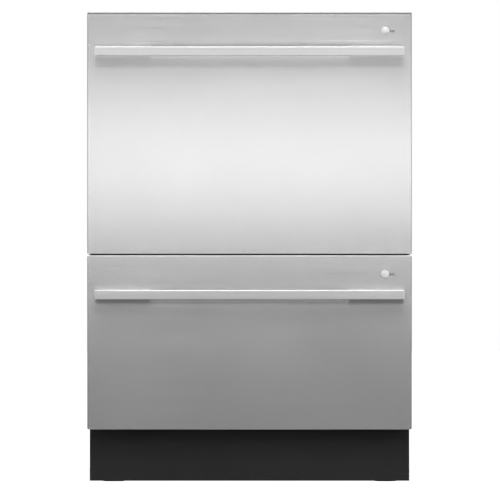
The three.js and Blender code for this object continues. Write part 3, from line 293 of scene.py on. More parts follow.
class Coat:
    """A finish's shader while it is dressed with shared effects."""

    groups: dict[Effect, NodeTree] = {}

    def __init__(self, tree: NodeTree) -> None:
        """Keeps the material's tree and shader, and reads the place on the piece."""
        self.tree = Tree(tree)
        self.shader = tree.nodes["Principled BSDF"]
        self.place = self.tree.object_place()

    @classmethod
    def group(cls, effect: Effect) -> NodeTree:
        """Returns an effect as a shader node group, built the first time it is asked for."""
        if effect not in cls.groups:
            group = cls.groups[effect] = bpy.data.node_groups.new(effect.__name__, "ShaderNodeTree")
            group.interface.new_socket("Vector", in_out="INPUT", socket_type="NodeSocketVector")
            for label, value in EFFECTS[effect].items():
                socket = group.interface.new_socket(label, in_out="INPUT", socket_type="NodeSocketFloat")
                socket.default_value = value
            tree = Tree(group)
            start = group.nodes.new("NodeGroupInput")
            made = effect(tree, {socket.name: socket for socket in start.outputs})
            for label in made:
                group.interface.new_socket(label, in_out="OUTPUT", socket_type="NodeSocketFloat")
            tree.filled(group.nodes.new("NodeGroupOutput"), *made.values())
        return cls.groups[effect]

    def effect(self, effect: Effect, **values: float) -> Sockets:
        """Puts an effect into the material.

        Args:
            effect: one of those in EFFECTS.
            values: the group's inputs, with underscores for spaces.

        Returns:
            The group's outputs by name.
        """
        node = self.tree.add("Group")
        node.node_tree = self.group(effect)
        self.tree.filled(node, Vector=self.place, **values)
        return {socket.name: socket for socket in node.outputs}

    def put(self, name: str, value: object) -> None:
        """Links a socket into one of the shader's inputs, or sets it to a plain value."""
        self.tree.put(self.shader.inputs[name], value)

    def bump(self, height: object, strength: float, distance: float) -> None:
        """Makes the shader's normal follow a height."""
        self.put("Normal", self.tree.bump(height, strength, distance))

    def plain(self) -> NodeSocket:
        """Returns the socket that the base colour comes from."""
        return self.shader.inputs["Base Color"].links[0].from_socket


# ----- Finishes -----


@dataclass(frozen=True)
class Finish:
    """What every finish has: a name, a base colour, the shader's plain values and the record's slot."""

    name: str
    colour: Colour
    roughness: float
    metallic: float = 0.0
    slot: str = ""

    def material(self) -> bpy.types.Material:
        """Returns the finish's material, made the first time it is asked for."""
        label = self.name + "_finish"
        made = bpy.data.materials.get(label)
        if made is None:
            made = bpy.data.materials.new(label)
            made.use_nodes = True
            made.diffuse_color = self.tone(1.0)
            coat = Coat(made.node_tree)
            plain = {"Base_Color": self.tone(1.0), "Roughness": self.roughness, "Metallic": self.metallic}
            coat.tree.filled(coat.shader, **plain)
            self.dress(coat)
        return made

    def dress(self, coat: Coat) -> None:
        """Gives the shader the finish's own detail."""

    def tone(self, share: float) -> tuple[float, float, float, float]:
        """Returns the base colour times `share`, with its alpha."""
        return (*(min(1.0, c * share) for c in self.colour), 1.0)

    def shade(self, coat: Coat, mask: object, low: float, high: float) -> None:
        """Scales the shader's base colour from `low` to `high` by a mask."""
        coat.put("Base Color", coat.tree.mixed(mask, self.tone(low), self.tone(high)))


@dataclass(frozen=True)
class BrushedSteel(Finish):
    """Stainless sheet with a belt grain along X and faint wiping marks."""

    metallic: float = 1.0
    anisotropy: float = 0.0
    across: float = 900.0
    contrast: float = 0.04
    depth: float = 0.00002

    def dress(self, coat: Coat) -> None:
        """Adds the grain to colour, roughness and normal, and wiping marks to the roughness."""
        tree = coat.tree
        grain = coat.effect(brushed_grain, Across=self.across)
        wiped = coat.effect(cloudy, Size=0.16)
        mask = tree.blended(grain["Lines"], grain["Bands"], 0.75, clamp=True)
        self.shade(coat, mask, 1 - self.contrast, 1 + self.contrast)
        smooth = tree.eased(wiped["Shade"], 0.015, self.roughness - 0.03)
        coat.put("Roughness", tree.eased(grain["Lines"], 0.05, smooth))
        coat.bump(grain["Lines"], 0.25, self.depth)
        coat.put("Anisotropic", self.anisotropy)
        coat.put("Anisotropic Rotation", 0.25)


@dataclass(frozen=True)
class FrontSteel(BrushedSteel):
    """Brushed sheet with painted shade on the strips folded back at the machine's sides and top, and a painted
    highlight along the line where they bend.
    """

    half_width: float = 297.6 * MM
    top: float = 863.3 * MM
    line: float = 1.9 * MM
    blur: float = 0.4 * MM
    # dull: the colour's share in the painted shade on the folds; bright: its share in the painted highlight along the
    # bend.
    dull: float = 0.45
    bright: float = 1.14

    def dress(self, coat: Coat) -> None:
        """Paints shade on the folds, on top of the brushed skin, and paints a highlight along the line where they
        bend.
        """
        super().dress(coat)
        mask = coat.effect(folded, Half_Width=self.half_width, Top=self.top, Line=self.line, Blur=self.blur)
        # Painted highlight along the bend line, then painted shade over the folded strips.
        lined = coat.tree.mixed(mask["Bend"], coat.plain(), self.tone(self.bright))
        coat.put("Base Color", coat.tree.mixed(mask["Fold"], lined, self.tone(self.dull)))


@dataclass(frozen=True)
class PolishedMetal(Finish):
    """Bright turned metal with a faint spun grain."""

    metallic: float = 1.0
    variety: float = 0.03

    def dress(self, coat: Coat) -> None:
        """Adds a soft cloud and hairlines to the roughness."""
        cloud = coat.effect(cloudy, Size=0.006)["Shade"]
        scratch = coat.effect(scuffed, Length=0.01)["Scratch"]
        rough = coat.tree.eased(cloud, 0.06, self.roughness - 0.02)
        coat.put("Roughness", coat.tree.eased(scratch, 0.08, rough))
        self.shade(coat, cloud, 1 - self.variety, 1 + self.variety)


@dataclass(frozen=True)
class ZincSheet(Finish):
    """Galvanised sheet: flat grey crystals, dull, with scuffs from handling."""

    metallic: float = 0.6
    crystal: float = 0.011

    def dress(self, coat: Coat) -> None:
        """Adds the crystals to colour, roughness and normal, and the scuffs to the roughness."""
        tree = coat.tree
        spangle = coat.effect(spangled, Size=self.crystal)
        cloud = coat.effect(cloudy, Size=0.12)["Shade"]
        scratch = coat.effect(scuffed, Length=0.06)["Scratch"]
        self.shade(coat, tree.blended(cloud, spangle["Shade"], 0.35), 0.82, 1.12)
        rough = tree.eased(spangle["Shade"], 0.2, self.roughness - 0.1)
        coat.put("Roughness", tree.eased(scratch, 0.1, rough, "SUBTRACT"))
        coat.bump(spangle["Height"], 0.22, 0.0003)


@dataclass(frozen=True)
class MouldedPlastic(Finish):
    """Injection moulded plastic, textured by its tool, with faint flow lines and a little dust."""

    grain: float = 0.0009
    depth: float = 0.00006
    variety: float = 0.05
    specular: float = 0.5

    def dress(self, coat: Coat) -> None:
        """Adds the tool's texture as bump, flow lines to the colour and handling to the roughness."""
        tree = coat.tree
        skin = coat.effect(pebbled, Size=self.grain)
        cloud = coat.effect(cloudy, Size=0.09)["Shade"]
        scratch = coat.effect(scuffed, Length=0.03)["Scratch"]
        self.shade(coat, tree.blended(cloud, skin["Flow"], 0.5), 1 - self.variety, 1 + self.variety)
        rough = tree.eased(cloud, 0.08, self.roughness - 0.04)
        coat.put("Roughness", tree.eased(scratch, 0.06, rough, "SUBTRACT"))
        coat.bump(skin["Height"], 0.5, self.depth)
        coat.put("Specular IOR Level", self.specular)


@dataclass(frozen=True)
class PerforatedPlastic(MouldedPlastic):
    """Moulded plastic with a fine pattern of round strainer holes."""

    pitch: float = 0.0055
    hole: float = 0.3

    def dress(self, coat: Coat) -> None:
        """Adds sunk holes to the moulded skin, coloured near black as painted shade inside them."""
        super().dress(coat)
        hole = coat.effect(perforated, Pitch=self.pitch, Radius=self.hole)["Hole"]
        # Painted shade: the holes' colour stands in for the shade inside them.
        coat.put("Base Color", coat.tree.mixed(hole, coat.plain(), self.tone(0.12)))
        coat.bump(coat.tree.math("SUBTRACT", 1.0, hole), 0.9, 0.0006)


@dataclass(frozen=True)
class CoatedWire(Finish):
    """Wire dipped in nylon: smooth, a little thick in places, with a soft gloss."""

    def dress(self, coat: Coat) -> None:
        """Adds the coat's slow waves and fine pinholes."""
        skin = coat.effect(pebbled, Size=0.003)
        cloud = coat.effect(cloudy, Size=0.05)
        self.shade(coat, cloud["Shade"], 0.92, 1.07)
        coat.put("Roughness", coat.tree.eased(cloud["Spots"], 0.12, self.roughness))
        coat.bump(skin["Height"], 0.35, 0.0002)
        coat.put("Coat Weight", 0.25)
        coat.put("Coat Roughness", 0.2)


@dataclass(frozen=True)
class Rubber(Finish):
    """Matt extruded rubber with a faint bloom."""

    def dress(self, coat: Coat) -> None:
        """Adds the bloom to colour and roughness, and a fine skin as bump."""
        cloud = coat.effect(cloudy, Size=0.02)
        self.shade(coat, cloud["Shade"], 0.8, 1.35)
        coat.put("Roughness", coat.tree.eased(cloud["Spots"], 0.08, self.roughness))
        coat.bump(coat.effect(pebbled, Size=0.0006)["Height"], 0.4, 0.00005)


@dataclass(frozen=True)
class Glowing(Finish):
    """A small lit window."""

    strength: float = 1.0

    def dress(self, coat: Coat) -> None:
        """Lights the window a little unevenly."""
        cloud = coat.effect(cloudy, Size=0.002)["Shade"]
        self.shade(coat, cloud, 0.75, 1.1)
        coat.put("Emission Color", coat.plain())
        coat.put("Emission Strength", self.strength)


FRONT_STEEL = FrontSteel(
    "front_steel", (0.60, 0.60, 0.60), 0.21, slot="brushed_front", anisotropy=0.8, contrast=0.045,
)
HANDLE_STEEL = BrushedSteel(
    "handle_steel", (0.58, 0.58, 0.584), 0.35, slot="handle_steel", across=1400.0, contrast=0.03,
)
BUTTON_METAL = PolishedMetal("button_metal", (0.53, 0.53, 0.53), 0.5, 0.3, "button_metal", variety=0.2)
ZINC = ZincSheet("zinc_sheet", (0.50, 0.51, 0.52), 0.5, slot="zinc_sheet")
RUNNER_STEEL = PolishedMetal("runner_steel", (0.68, 0.70, 0.71), 0.3)
BLACK = MouldedPlastic("black_plastic", (0.022, 0.022, 0.023), 0.5, slot="black_plastic", variety=0.12)
KICK_BLACK = MouldedPlastic(
    "kick_black", (0.007, 0.007, 0.0073), 0.5, slot="black_plastic", specular=0.25, grain=0.0016, depth=0.00003,
    variety=0.1,
)
TUB_WHITE = MouldedPlastic("tub_plastic", (0.70, 0.72, 0.72), 0.34, slot="tub_plastic", depth=0.00002, variety=0.025)
LID_GREY = MouldedPlastic("lid_plastic", (0.56, 0.59, 0.60), 0.42, slot="lid_plastic", depth=0.00004)
GREY = MouldedPlastic("grey_plastic", (0.25, 0.275, 0.285), 0.45, slot="grey_plastic")
STRAINER = PerforatedPlastic("strainer_plastic", (0.25, 0.275, 0.285), 0.42, slot="grey_plastic")
RACK_COAT = CoatedWire("rack_coating", (0.31, 0.35, 0.38), 0.34, slot="rack_coating")
SEAL = Rubber("seal_rubber", (0.045, 0.05, 0.053), 0.72, slot="seal_rubber")
MOTOR = MouldedPlastic("motor_shell", (0.03, 0.032, 0.034), 0.52, slot="motor_shell", variety=0.15)
MARK_INK = MouldedPlastic("mark_ink", (0.014, 0.014, 0.0145), 0.55, grain=0.0004)
KEY_PALE = MouldedPlastic("key_plastic", (0.10, 0.105, 0.11), 0.4, grain=0.0006)
LAMP_GREEN = Glowing("lamp_green", (0.2, 0.55, 0.3), 0.3, strength=0.6)


# ----- Shapes -----


def facing(axis: Vector) -> Matrix:
    """Returns the turn that takes +Z to `axis`."""
    return axis.to_track_quat("Z", "Y").to_matrix().to_4x4()


def linked(name: str, data: bpy.types.ID) -> bpy.types.Object:
    """Returns a new object of the data, linked into the scene."""
    made = bpy.data.objects.new(name, data)
    bpy.context.scene.collection.objects.link(made)
    return made


def edges_of(verts: Iterable[BMVert]) -> list[BMEdge]:
    """Returns the edges that touch some vertices, each of them once."""
    return list(dict.fromkeys(e for v in verts for e in v.link_edges))


def in_mm(profile: Profile, radius: float = 0.0, height: float = 0.0) -> list[tuple[float, float]]:
    """Returns a profile given in millimetres, moved out by `radius` and up by `height`, both in metres."""
    return [(radius + r * MM, height + h * MM) for r, h in profile]


@dataclass
class RoundedRing:
    """The open edge of a rounded rectangle, which can be drawn outwards and up."""

    edges: list[BMEdge]
    core_low: Vector
    core_high: Vector

    def outward(self, point: Vector) -> Vector:
        """Returns the direction out of the ring at a point, in the ring's plane."""
        x, y = (min(max(p, low), high) for p, low, high in zip(point.xy, self.core_low, self.core_high))
        return (point - Vector((x, y, point.z))).normalized()


class Form:
    """One mesh under construction, shaped by bmesh operators."""

    def __init__(self) -> None:
        """Starts with nothing in it."""
        self.bm = bmesh.new()

    # -- solids --

    def block(self, low: Point, high: Point, round_by: float = 0.0, steps: int = 2) -> list[BMVert]:
        """Adds a box between two corners.

        Args:
            low: lowest corner.
            high: highest corner.
            round_by: radius of all its edges.
            steps: segments of that rounding.

        Returns:
            The box's vertices.
        """
        low, high = Vector(low), Vector(high)
        place = Matrix.Translation((low + high) / 2) @ Matrix.Diagonal((*(high - low), 1.0))
        verts = bmesh.ops.create_cube(self.bm, size=1.0, matrix=place)["verts"]
        if round_by > 0:
            made = self.bevel(edges_of(verts), round_by, steps)
            verts = [v for v in made if v.is_valid]
        return verts

    def bevel(self, edges: Iterable[BMEdge], width: float, steps: int = 2) -> list[BMVert]:
        """Rounds edges.

        Args:
            edges: the edges.
            width: radius of the rounding.
            steps: its segments.

        Returns:
            The vertices of the rounded part.
        """
        made = bmesh.ops.bevel(
            self.bm, geom=list(edges), offset=width, offset_type="OFFSET", segments=steps,
            profile=0.5, affect="EDGES", clamp_overlap=True, material=-1,
        )
        return list(dict.fromkeys(v for f in made["faces"] for v in f.verts))

    def turned(self, profile: Sequence[Point], origin: Point, axis: Vector, steps: int = 32) -> list[BMVert]:
        """Turns a profile about an axis.

        Args:
            profile: points as (radius, height), the height along the axis from the origin.
            origin: a point on the axis.
            axis: the axis.
            steps: sides of a full turn.

        Returns:
            The turned vertices.
        """
        before = set(self.bm.verts)
        turn = Matrix.Translation(Vector(origin)) @ facing(axis)
        verts = [self.bm.verts.new(turn @ Vector((r, 0, h))) for r, h in profile]
        edges = [self.bm.edges.new(pair) for pair in zip(verts, verts[1:])]
        bmesh.ops.spin(
            self.bm, geom=verts + edges, cent=Vector(origin), axis=axis, angle=math.tau,
            steps=steps, use_merge=True, use_normal_flip=False, use_duplicate=False,
        )
        made = [v for v in self.bm.verts if v not in before]
        bmesh.ops.remove_doubles(self.bm, verts=made, dist=1e-6)
        return self.outward(before)

    def outward(self, before: Iterable[BMVert] = ()) -> list[BMVert]:
        """Points the faces of everything added since `before` outwards, and returns its vertices."""
        made = [v for v in self.bm.verts if v not in before]
        bmesh.ops.recalc_face_normals(self.bm, faces=list(dict.fromkeys(f for v in made for f in v.link_faces)))
        return made

    def wire(
        self, points: Sequence[Point], radius: float, bend: float = 0.0, closed: bool = False,
        sides: int = 10, bend_steps: int = 5,
    ) -> list[BMVert]:
        """Sweeps a round wire along straight runs, with an arc at each corner.

        Args:
            points: the corners of its path.
            radius: half the wire's thickness.
            bend: radius of the arcs, on the wire's middle.
            closed: joins the last point to the first. The first point then lies inside a straight run.
            sides: sides of the wire's section.
            bend_steps: segments of each arc.

        Returns:
            The wire's vertices.
        """
        before = set(self.bm.verts)
        path = [Vector(p) for p in points]
        if closed:
            path.append(path[0].copy())
        place = Matrix.Translation(path[0]) @ facing((path[1] - path[0]).normalized())
        ring = bmesh.ops.create_circle(self.bm, cap_ends=False, radius=radius, segments=sides, matrix=place)["verts"]
        first = list(ring)
        here = path[0].copy()
        for i in range(1, len(path)):
            along = (path[i] - path[i - 1]).normalized()
            trim = turn = 0.0
            if i + 1 < len(path):
                following = (path[i + 1] - path[i]).normalized()
                turn = along.angle(following)
                trim = bend * math.tan(turn / 2)
                axis = along.cross(following).normalized()
            end = path[i] - along * trim
            if (end - here).length > 1e-6:
                ring = self.drawn(self.ring_edges(ring), end - here)
                here = end
            if turn:
                centre = here + axis.cross(along) * bend
                ring = self.swung(ring, centre, axis, turn, bend_steps)
                here = path[i] + following * trim
        if closed:
            made = [v for v in self.bm.verts if v not in before]
            bmesh.ops.remove_doubles(self.bm, verts=made, dist=1e-5)
        else:
            for end_ring, towards in ((first, path[0] - path[1]), (ring, path[-1] - path[-2])):
                self.domed(end_ring, towards.normalized(), radius)
        return self.outward(before)

    @staticmethod
    def ring_edges(ring: Sequence[BMVert]) -> list[BMEdge]:
        """Returns the open edges between the vertices of a ring."""
        members = set(ring)
        return [e for e in edges_of(ring) if members.issuperset(e.verts) and len(e.link_faces) < 2]

    def drawn(self, edges: Iterable[BMEdge], move: Vector) -> list[BMVert]:
        """Draws open edges out.

        Args:
            edges: the edges.
            move: where they go.

        Returns:
            The new vertices.
        """
        made = bmesh.ops.extrude_edge_only(self.bm, edges=list(edges))["geom"]
        verts = [g for g in made if isinstance(g, BMVert)]
        bmesh.ops.translate(self.bm, vec=move, verts=verts)
        return verts

    def swung(self, ring: Sequence[BMVert], centre: Vector, axis: Vector, angle: float, steps: int) -> list[BMVert]:
        """Swings a ring of vertices about an axis.

        Args:
            ring: the ring.
            centre: a point on the axis.
            axis: the axis.
            angle: how far.
            steps: segments of the arc.

        Returns:
            The new ring.
        """
        made = bmesh.ops.spin(
            self.bm, geom=list(ring) + self.ring_edges(ring), cent=centre, axis=axis, angle=angle,
            steps=steps, use_merge=False, use_normal_flip=False, use_duplicate=False,
        )
        return [g for g in made["geom_last"] if isinstance(g, BMVert)]

    def domed(self, ring: Sequence[BMVert], towards: Vector, radius: float) -> None:
        """Closes a wire's end with a low dome.

        Args:
            ring: the end's vertices.
            towards: the way out of the wire.
            radius: half the wire's thickness.
        """
        for share, rise in ((0.75, 0.45), (0.35, 0.25)):
            ring = self.drawn(self.ring_edges(ring), towards * radius * rise)
            middle = sum((v.co for v in ring), Vector()) / len(ring)
            bmesh.ops.scale(self.bm, vec=Vector.Fill(3, share), space=Matrix.Translation(-middle), verts=ring)
        bmesh.ops.contextual_create(self.bm, geom=self.ring_edges(ring))

    # -- sheets --

    def rounded_plate(
        self, low: Point, high: Point, z: float, corner: float, steps: int = 8,
    ) -> tuple[BMFace, RoundedRing]:
        """Adds a flat rounded rectangle in the XY plane.

        Args:
            low: lowest (x, y).
            high: highest (x, y).
            z: its height.
            corner: radius of its corners.
            steps: segments of a corner.

        Returns:
            The face and its edge.
        """
        middle = Vector(((low[0] + high[0]) / 2, (low[1] + high[1]) / 2, z))
        place = Matrix.Translation(middle) @ Matrix.Diagonal((high[0] - low[0], high[1] - low[1], 1.0, 1.0))
        verts = bmesh.ops.create_grid(self.bm, x_segments=1, y_segments=1, size=0.5, matrix=place)["verts"]
        rounded = bmesh.ops.bevel(
            self.bm, geom=verts, offset=corner, offset_type="OFFSET", segments=steps,
            profile=0.5, affect="VERTICES", clamp_overlap=True, material=-1,
        )["verts"]
        face = rounded[0].link_faces[0]
        face.normal_update()
        inner_low = Vector((low[0] + corner, low[1] + corner, z))
        inner_high = Vector((high[0] - corner, high[1] - corner, z))
        return face, RoundedRing(list(face.edges), inner_low, inner_high)

    def rise(self, ring: RoundedRing, outward: float, up: float) -> RoundedRing:
        """Draws a rounded ring outwards and up.

        Args:
            ring: the ring.
            outward: how far outwards.
            up: how far up.

        Returns:
            The new ring.
        """
        made = bmesh.ops.extrude_edge_only(self.bm, edges=ring.edges)["geom"]
        for vert in (g for g in made if isinstance(g, BMVert)):
            vert.co += ring.outward(vert.co) * outward + Z_AXIS * up
        edges = [g for g in made if isinstance(g, BMEdge)]
        return RoundedRing(edges, ring.core_low, ring.core_high)

    def fillet(self, ring: RoundedRing, radius: float, steps: int = 5) -> RoundedRing:
        """Draws a quarter round from flat to upright.

        Args:
            ring: where it starts.
            radius: its radius.
            steps: its segments.

        Returns:
            The ring where it ends.
        """
        for i in range(steps):
            a, b = (math.pi / 2 * k / steps for k in (i, i + 1))
            ring = self.rise(ring, radius * (math.sin(b) - math.sin(a)), radius * (math.cos(a) - math.cos(b)))
        return ring

    def walled(self, faces: Iterable[BMFace], thickness: float) -> None:
        """Gives faces a wall, grown away from the side that they face."""
        bmesh.ops.solidify(self.bm, geom=list(faces), thickness=thickness)

    def lattice(
        self, corner: Point, across: Vector, along: Vector, counts: tuple[int, int], bar: float, wall: Vector,
    ) -> None:
        """Adds a flat grid of bars.

        Args:
            corner: one corner of the sheet.
            across: from there to the end of its first side.
            along: from there to the end of its second side.
            counts: openings along each side.
            bar: half the width of a bar between two openings.
            wall: the sheet's thickness and which way it grows.
        """
        place = Matrix.Identity(4)
        for i, column in enumerate((across, along, across.cross(along).normalized())):
            place.col[i].xyz = column
        place.translation = Vector(corner) + (across + along) / 2
        before = set(self.bm.faces)
        bmesh.ops.create_grid(self.bm, x_segments=counts[0], y_segments=counts[1], size=0.5, matrix=place)
        cells = [f for f in self.bm.faces if f not in before]
        bmesh.ops.inset_individual(self.bm, faces=cells, thickness=bar, use_even_offset=True)
        bmesh.ops.delete(self.bm, geom=cells, context="FACES_ONLY")
        sheet = [f for f in self.bm.faces if f not in before]
        made = bmesh.ops.extrude_face_region(self.bm, geom=sheet)["geom"]
        bmesh.ops.translate(self.bm, vec=wall, verts=[g for g in made if isinstance(g, BMVert)])
        bmesh.ops.recalc_face_normals(self.bm, faces=[f for f in self.bm.faces if f not in before])

    def carved(self, face: BMFace, low: Point, high: Point) -> BMFace:
        """Cuts a rectangle out of a flat face and returns the face inside it.

        Args:
            face: a face square to one axis.
            low: lowest corner of the rectangle; the coordinate along the face's normal isn't read.
            high: highest corner.

        Returns:
            The face inside the four cuts.
        """
        normal = face.normal.copy()
        for axis in range(3):
            if abs(normal[axis]) > 0.5:
                continue
            for place, sign in ((low[axis], -1), (high[axis], 1)):
                out, spot = Vector(), Vector()
                out[axis], spot[axis] = sign, place
                geom = [face, *face.edges, *face.verts]
                cut = bmesh.ops.bisect_plane(self.bm, geom=geom, plane_co=spot, plane_no=out, dist=1e-7)
                found = [g for g in cut["geom"] if isinstance(g, BMFace) and g.is_valid]
                face = min(found, key=lambda f: out.dot(f.calc_center_median()))
        return face

    def pressed(self, face: BMFace, slope: float, depth: float) -> None:
        """Presses a field into sheet.

        Args:
            face: the field.
            slope: width of the slope around its middle.
            depth: how far the middle moves out.
        """
        normal = face.normal.copy()
        bmesh.ops.inset_region(self.bm, faces=[face], thickness=slope, use_even_offset=True)
        bmesh.ops.translate(self.bm, vec=normal * depth, verts=list(face.verts))

    def round_hole(
        self, face: BMFace, middle: Vector, axis: Vector, margin: float, radius: float, steps: int = 32,
    ) -> list[BMEdge]:
        """Opens a round hole in a flat face.

        Args:
            face: the face.
            middle: the hole's middle, in the face.
            axis: the way that the face looks.
            margin: half the side of the square around the hole that is meshed anew.
            radius: the hole's radius.
            steps: sides of the hole, a multiple of four.

        Returns:
            The edges of the hole.
        """
        half = Vector.Fill(3, margin)
        square = self.carved(face, middle - half, middle + half)
        sides = list(square.edges)
        bmesh.ops.delete(self.bm, geom=[square], context="FACES_ONLY")
        bmesh.ops.subdivide_edges(self.bm, edges=sides, cuts=steps // 4 - 1)
        near = 1e-6
        outer = [
            e for e in self.bm.edges
            if e.is_boundary and all(
                max(map(abs, off)) < margin + near and abs(off.dot(axis)) < near
                for off in (v.co - middle for v in e.verts)
            )
        ]
        ring = self.drawn(outer, Vector())
        place, step = Matrix.Translation(middle) @ facing(axis), math.tau / steps
        for vert in ring:
            spot = place.inverted() @ vert.co
            angle = round(math.atan2(spot.y, spot.x) / step) * step
            vert.co = place @ Vector((radius * math.cos(angle), radius * math.sin(angle), 0))
        return self.ring_edges(ring)

    def face_towards(self, direction: Vector, faces: Iterable[BMFace] | None = None) -> BMFace:
        """Finds the largest face that points in a direction.

        Args:
            direction: the direction.
            faces: where to look, or None for the whole mesh.

        Returns:
            The face.
        """
        pool = [f for f in (faces or self.bm.faces) if f.is_valid]
        for f in pool:
            f.normal_update()
        return max((f for f in pool if f.normal.dot(direction) > 0.99), key=lambda f: f.calc_area())

    def edges_along(self, axis: Vector, edges: Iterable[BMEdge] | None = None) -> list[BMEdge]:
        """Returns the edges that run along an axis."""
        pool = edges or self.bm.edges
        return [e for e in pool if abs((e.verts[0].co - e.verts[1].co).normalized().dot(axis)) > 0.9]

    def folds(self) -> list[BMEdge]:
        """Returns the edges between two faces."""
        return [e for e in self.bm.edges if len(e.link_faces) == 2]

    def opened(self, *ways: Vector) -> None:
        """Takes away the largest face that points in each of some directions."""
        bmesh.ops.delete(self.bm, geom=[self.face_towards(way) for way in ways], context="FACES_ONLY")

    def screw(self, origin: Point, axis: Vector, radius: float) -> None:
        """Adds a domed screw head with a hollow drive.

        Args:
            origin: its middle, on the sheet.
            axis: the way out of the sheet.
            radius: its radius.
        """
        edge = [(0.0, -0.2 * MM), (radius, -0.2 * MM), (radius, 0.15 * MM)]
        dome = ((0.82, 0.36), (0.5, 0.46), (0.42, 0.46), (0.3, 0.12), (0.0, 0.12))
        self.turned([*edge, *((r * radius, h * radius) for r, h in dome)], origin, axis, 16)

    # -- the finished piece --

    def piece(
        self, name: str, finish: Finish, body: str, replaces: Sequence[str] = (), smooth: float = 32.0,
    ) -> None:
        """Makes the object, parents it to its body's empty and hides the nodes that it stands for.

        Args:
            name: the piece's name.
            finish: its finish.
            body: the body that it rides on.
            replaces: the nodes that it stands for.
            smooth: faces that meet at less than this angle, in degrees, are shaded smooth.
        """
        mesh = bpy.data.meshes.new(name)
        self.bm.to_mesh(mesh)
        self.bm.free()
        mesh.shade_smooth()
        mesh.set_sharp_from_angle(angle=math.radians(smooth))
        made = linked(name, mesh)
        mesh.materials.append(finish.material())
        weighted = made.modifiers.new("flat_faces", "WEIGHTED_NORMAL")
        weighted.keep_sharp = True
        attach(made, body)
        if replaces:
            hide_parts(*replaces)
        LOG.info("%s: %d faces", name, len(mesh.polygons))


def dress_node(node: str, finish: Finish) -> None:
    """Gives a carried-over node its finish.

    Args:
        node: its name.
        finish: the finish.
    """
    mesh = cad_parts[node].data
    mesh.materials.clear()
    mesh.materials.append(finish.material())
    LOG.info("%s: dressed with %s", node, finish.name)


# ----- Drawer front -----


@dataclass
class DrawerPart:
    """What every sub-assembly of a drawer starts from."""

    level: Level

    def node(self, part: str) -> str:
        """The full name of one of the drawer's nodes, pieces or bodies."""
        return f"{self.level.value}_{part}"

    def add(self, form: Form, name: str, finish: Finish, node: str = "", body: str = "drawer", **more: float) -> None:
        """Makes one of the drawer's pieces.

        Args:
            form: its mesh.
            name: its name, without the level.
            finish: its finish.
            node: the node that it stands for, if any.
            body: the body that it rides on.
            more: what else Form.piece takes.
        """
        form.piece(self.node(name), finish, self.node(body), [self.node(node)] if node else (), **more)


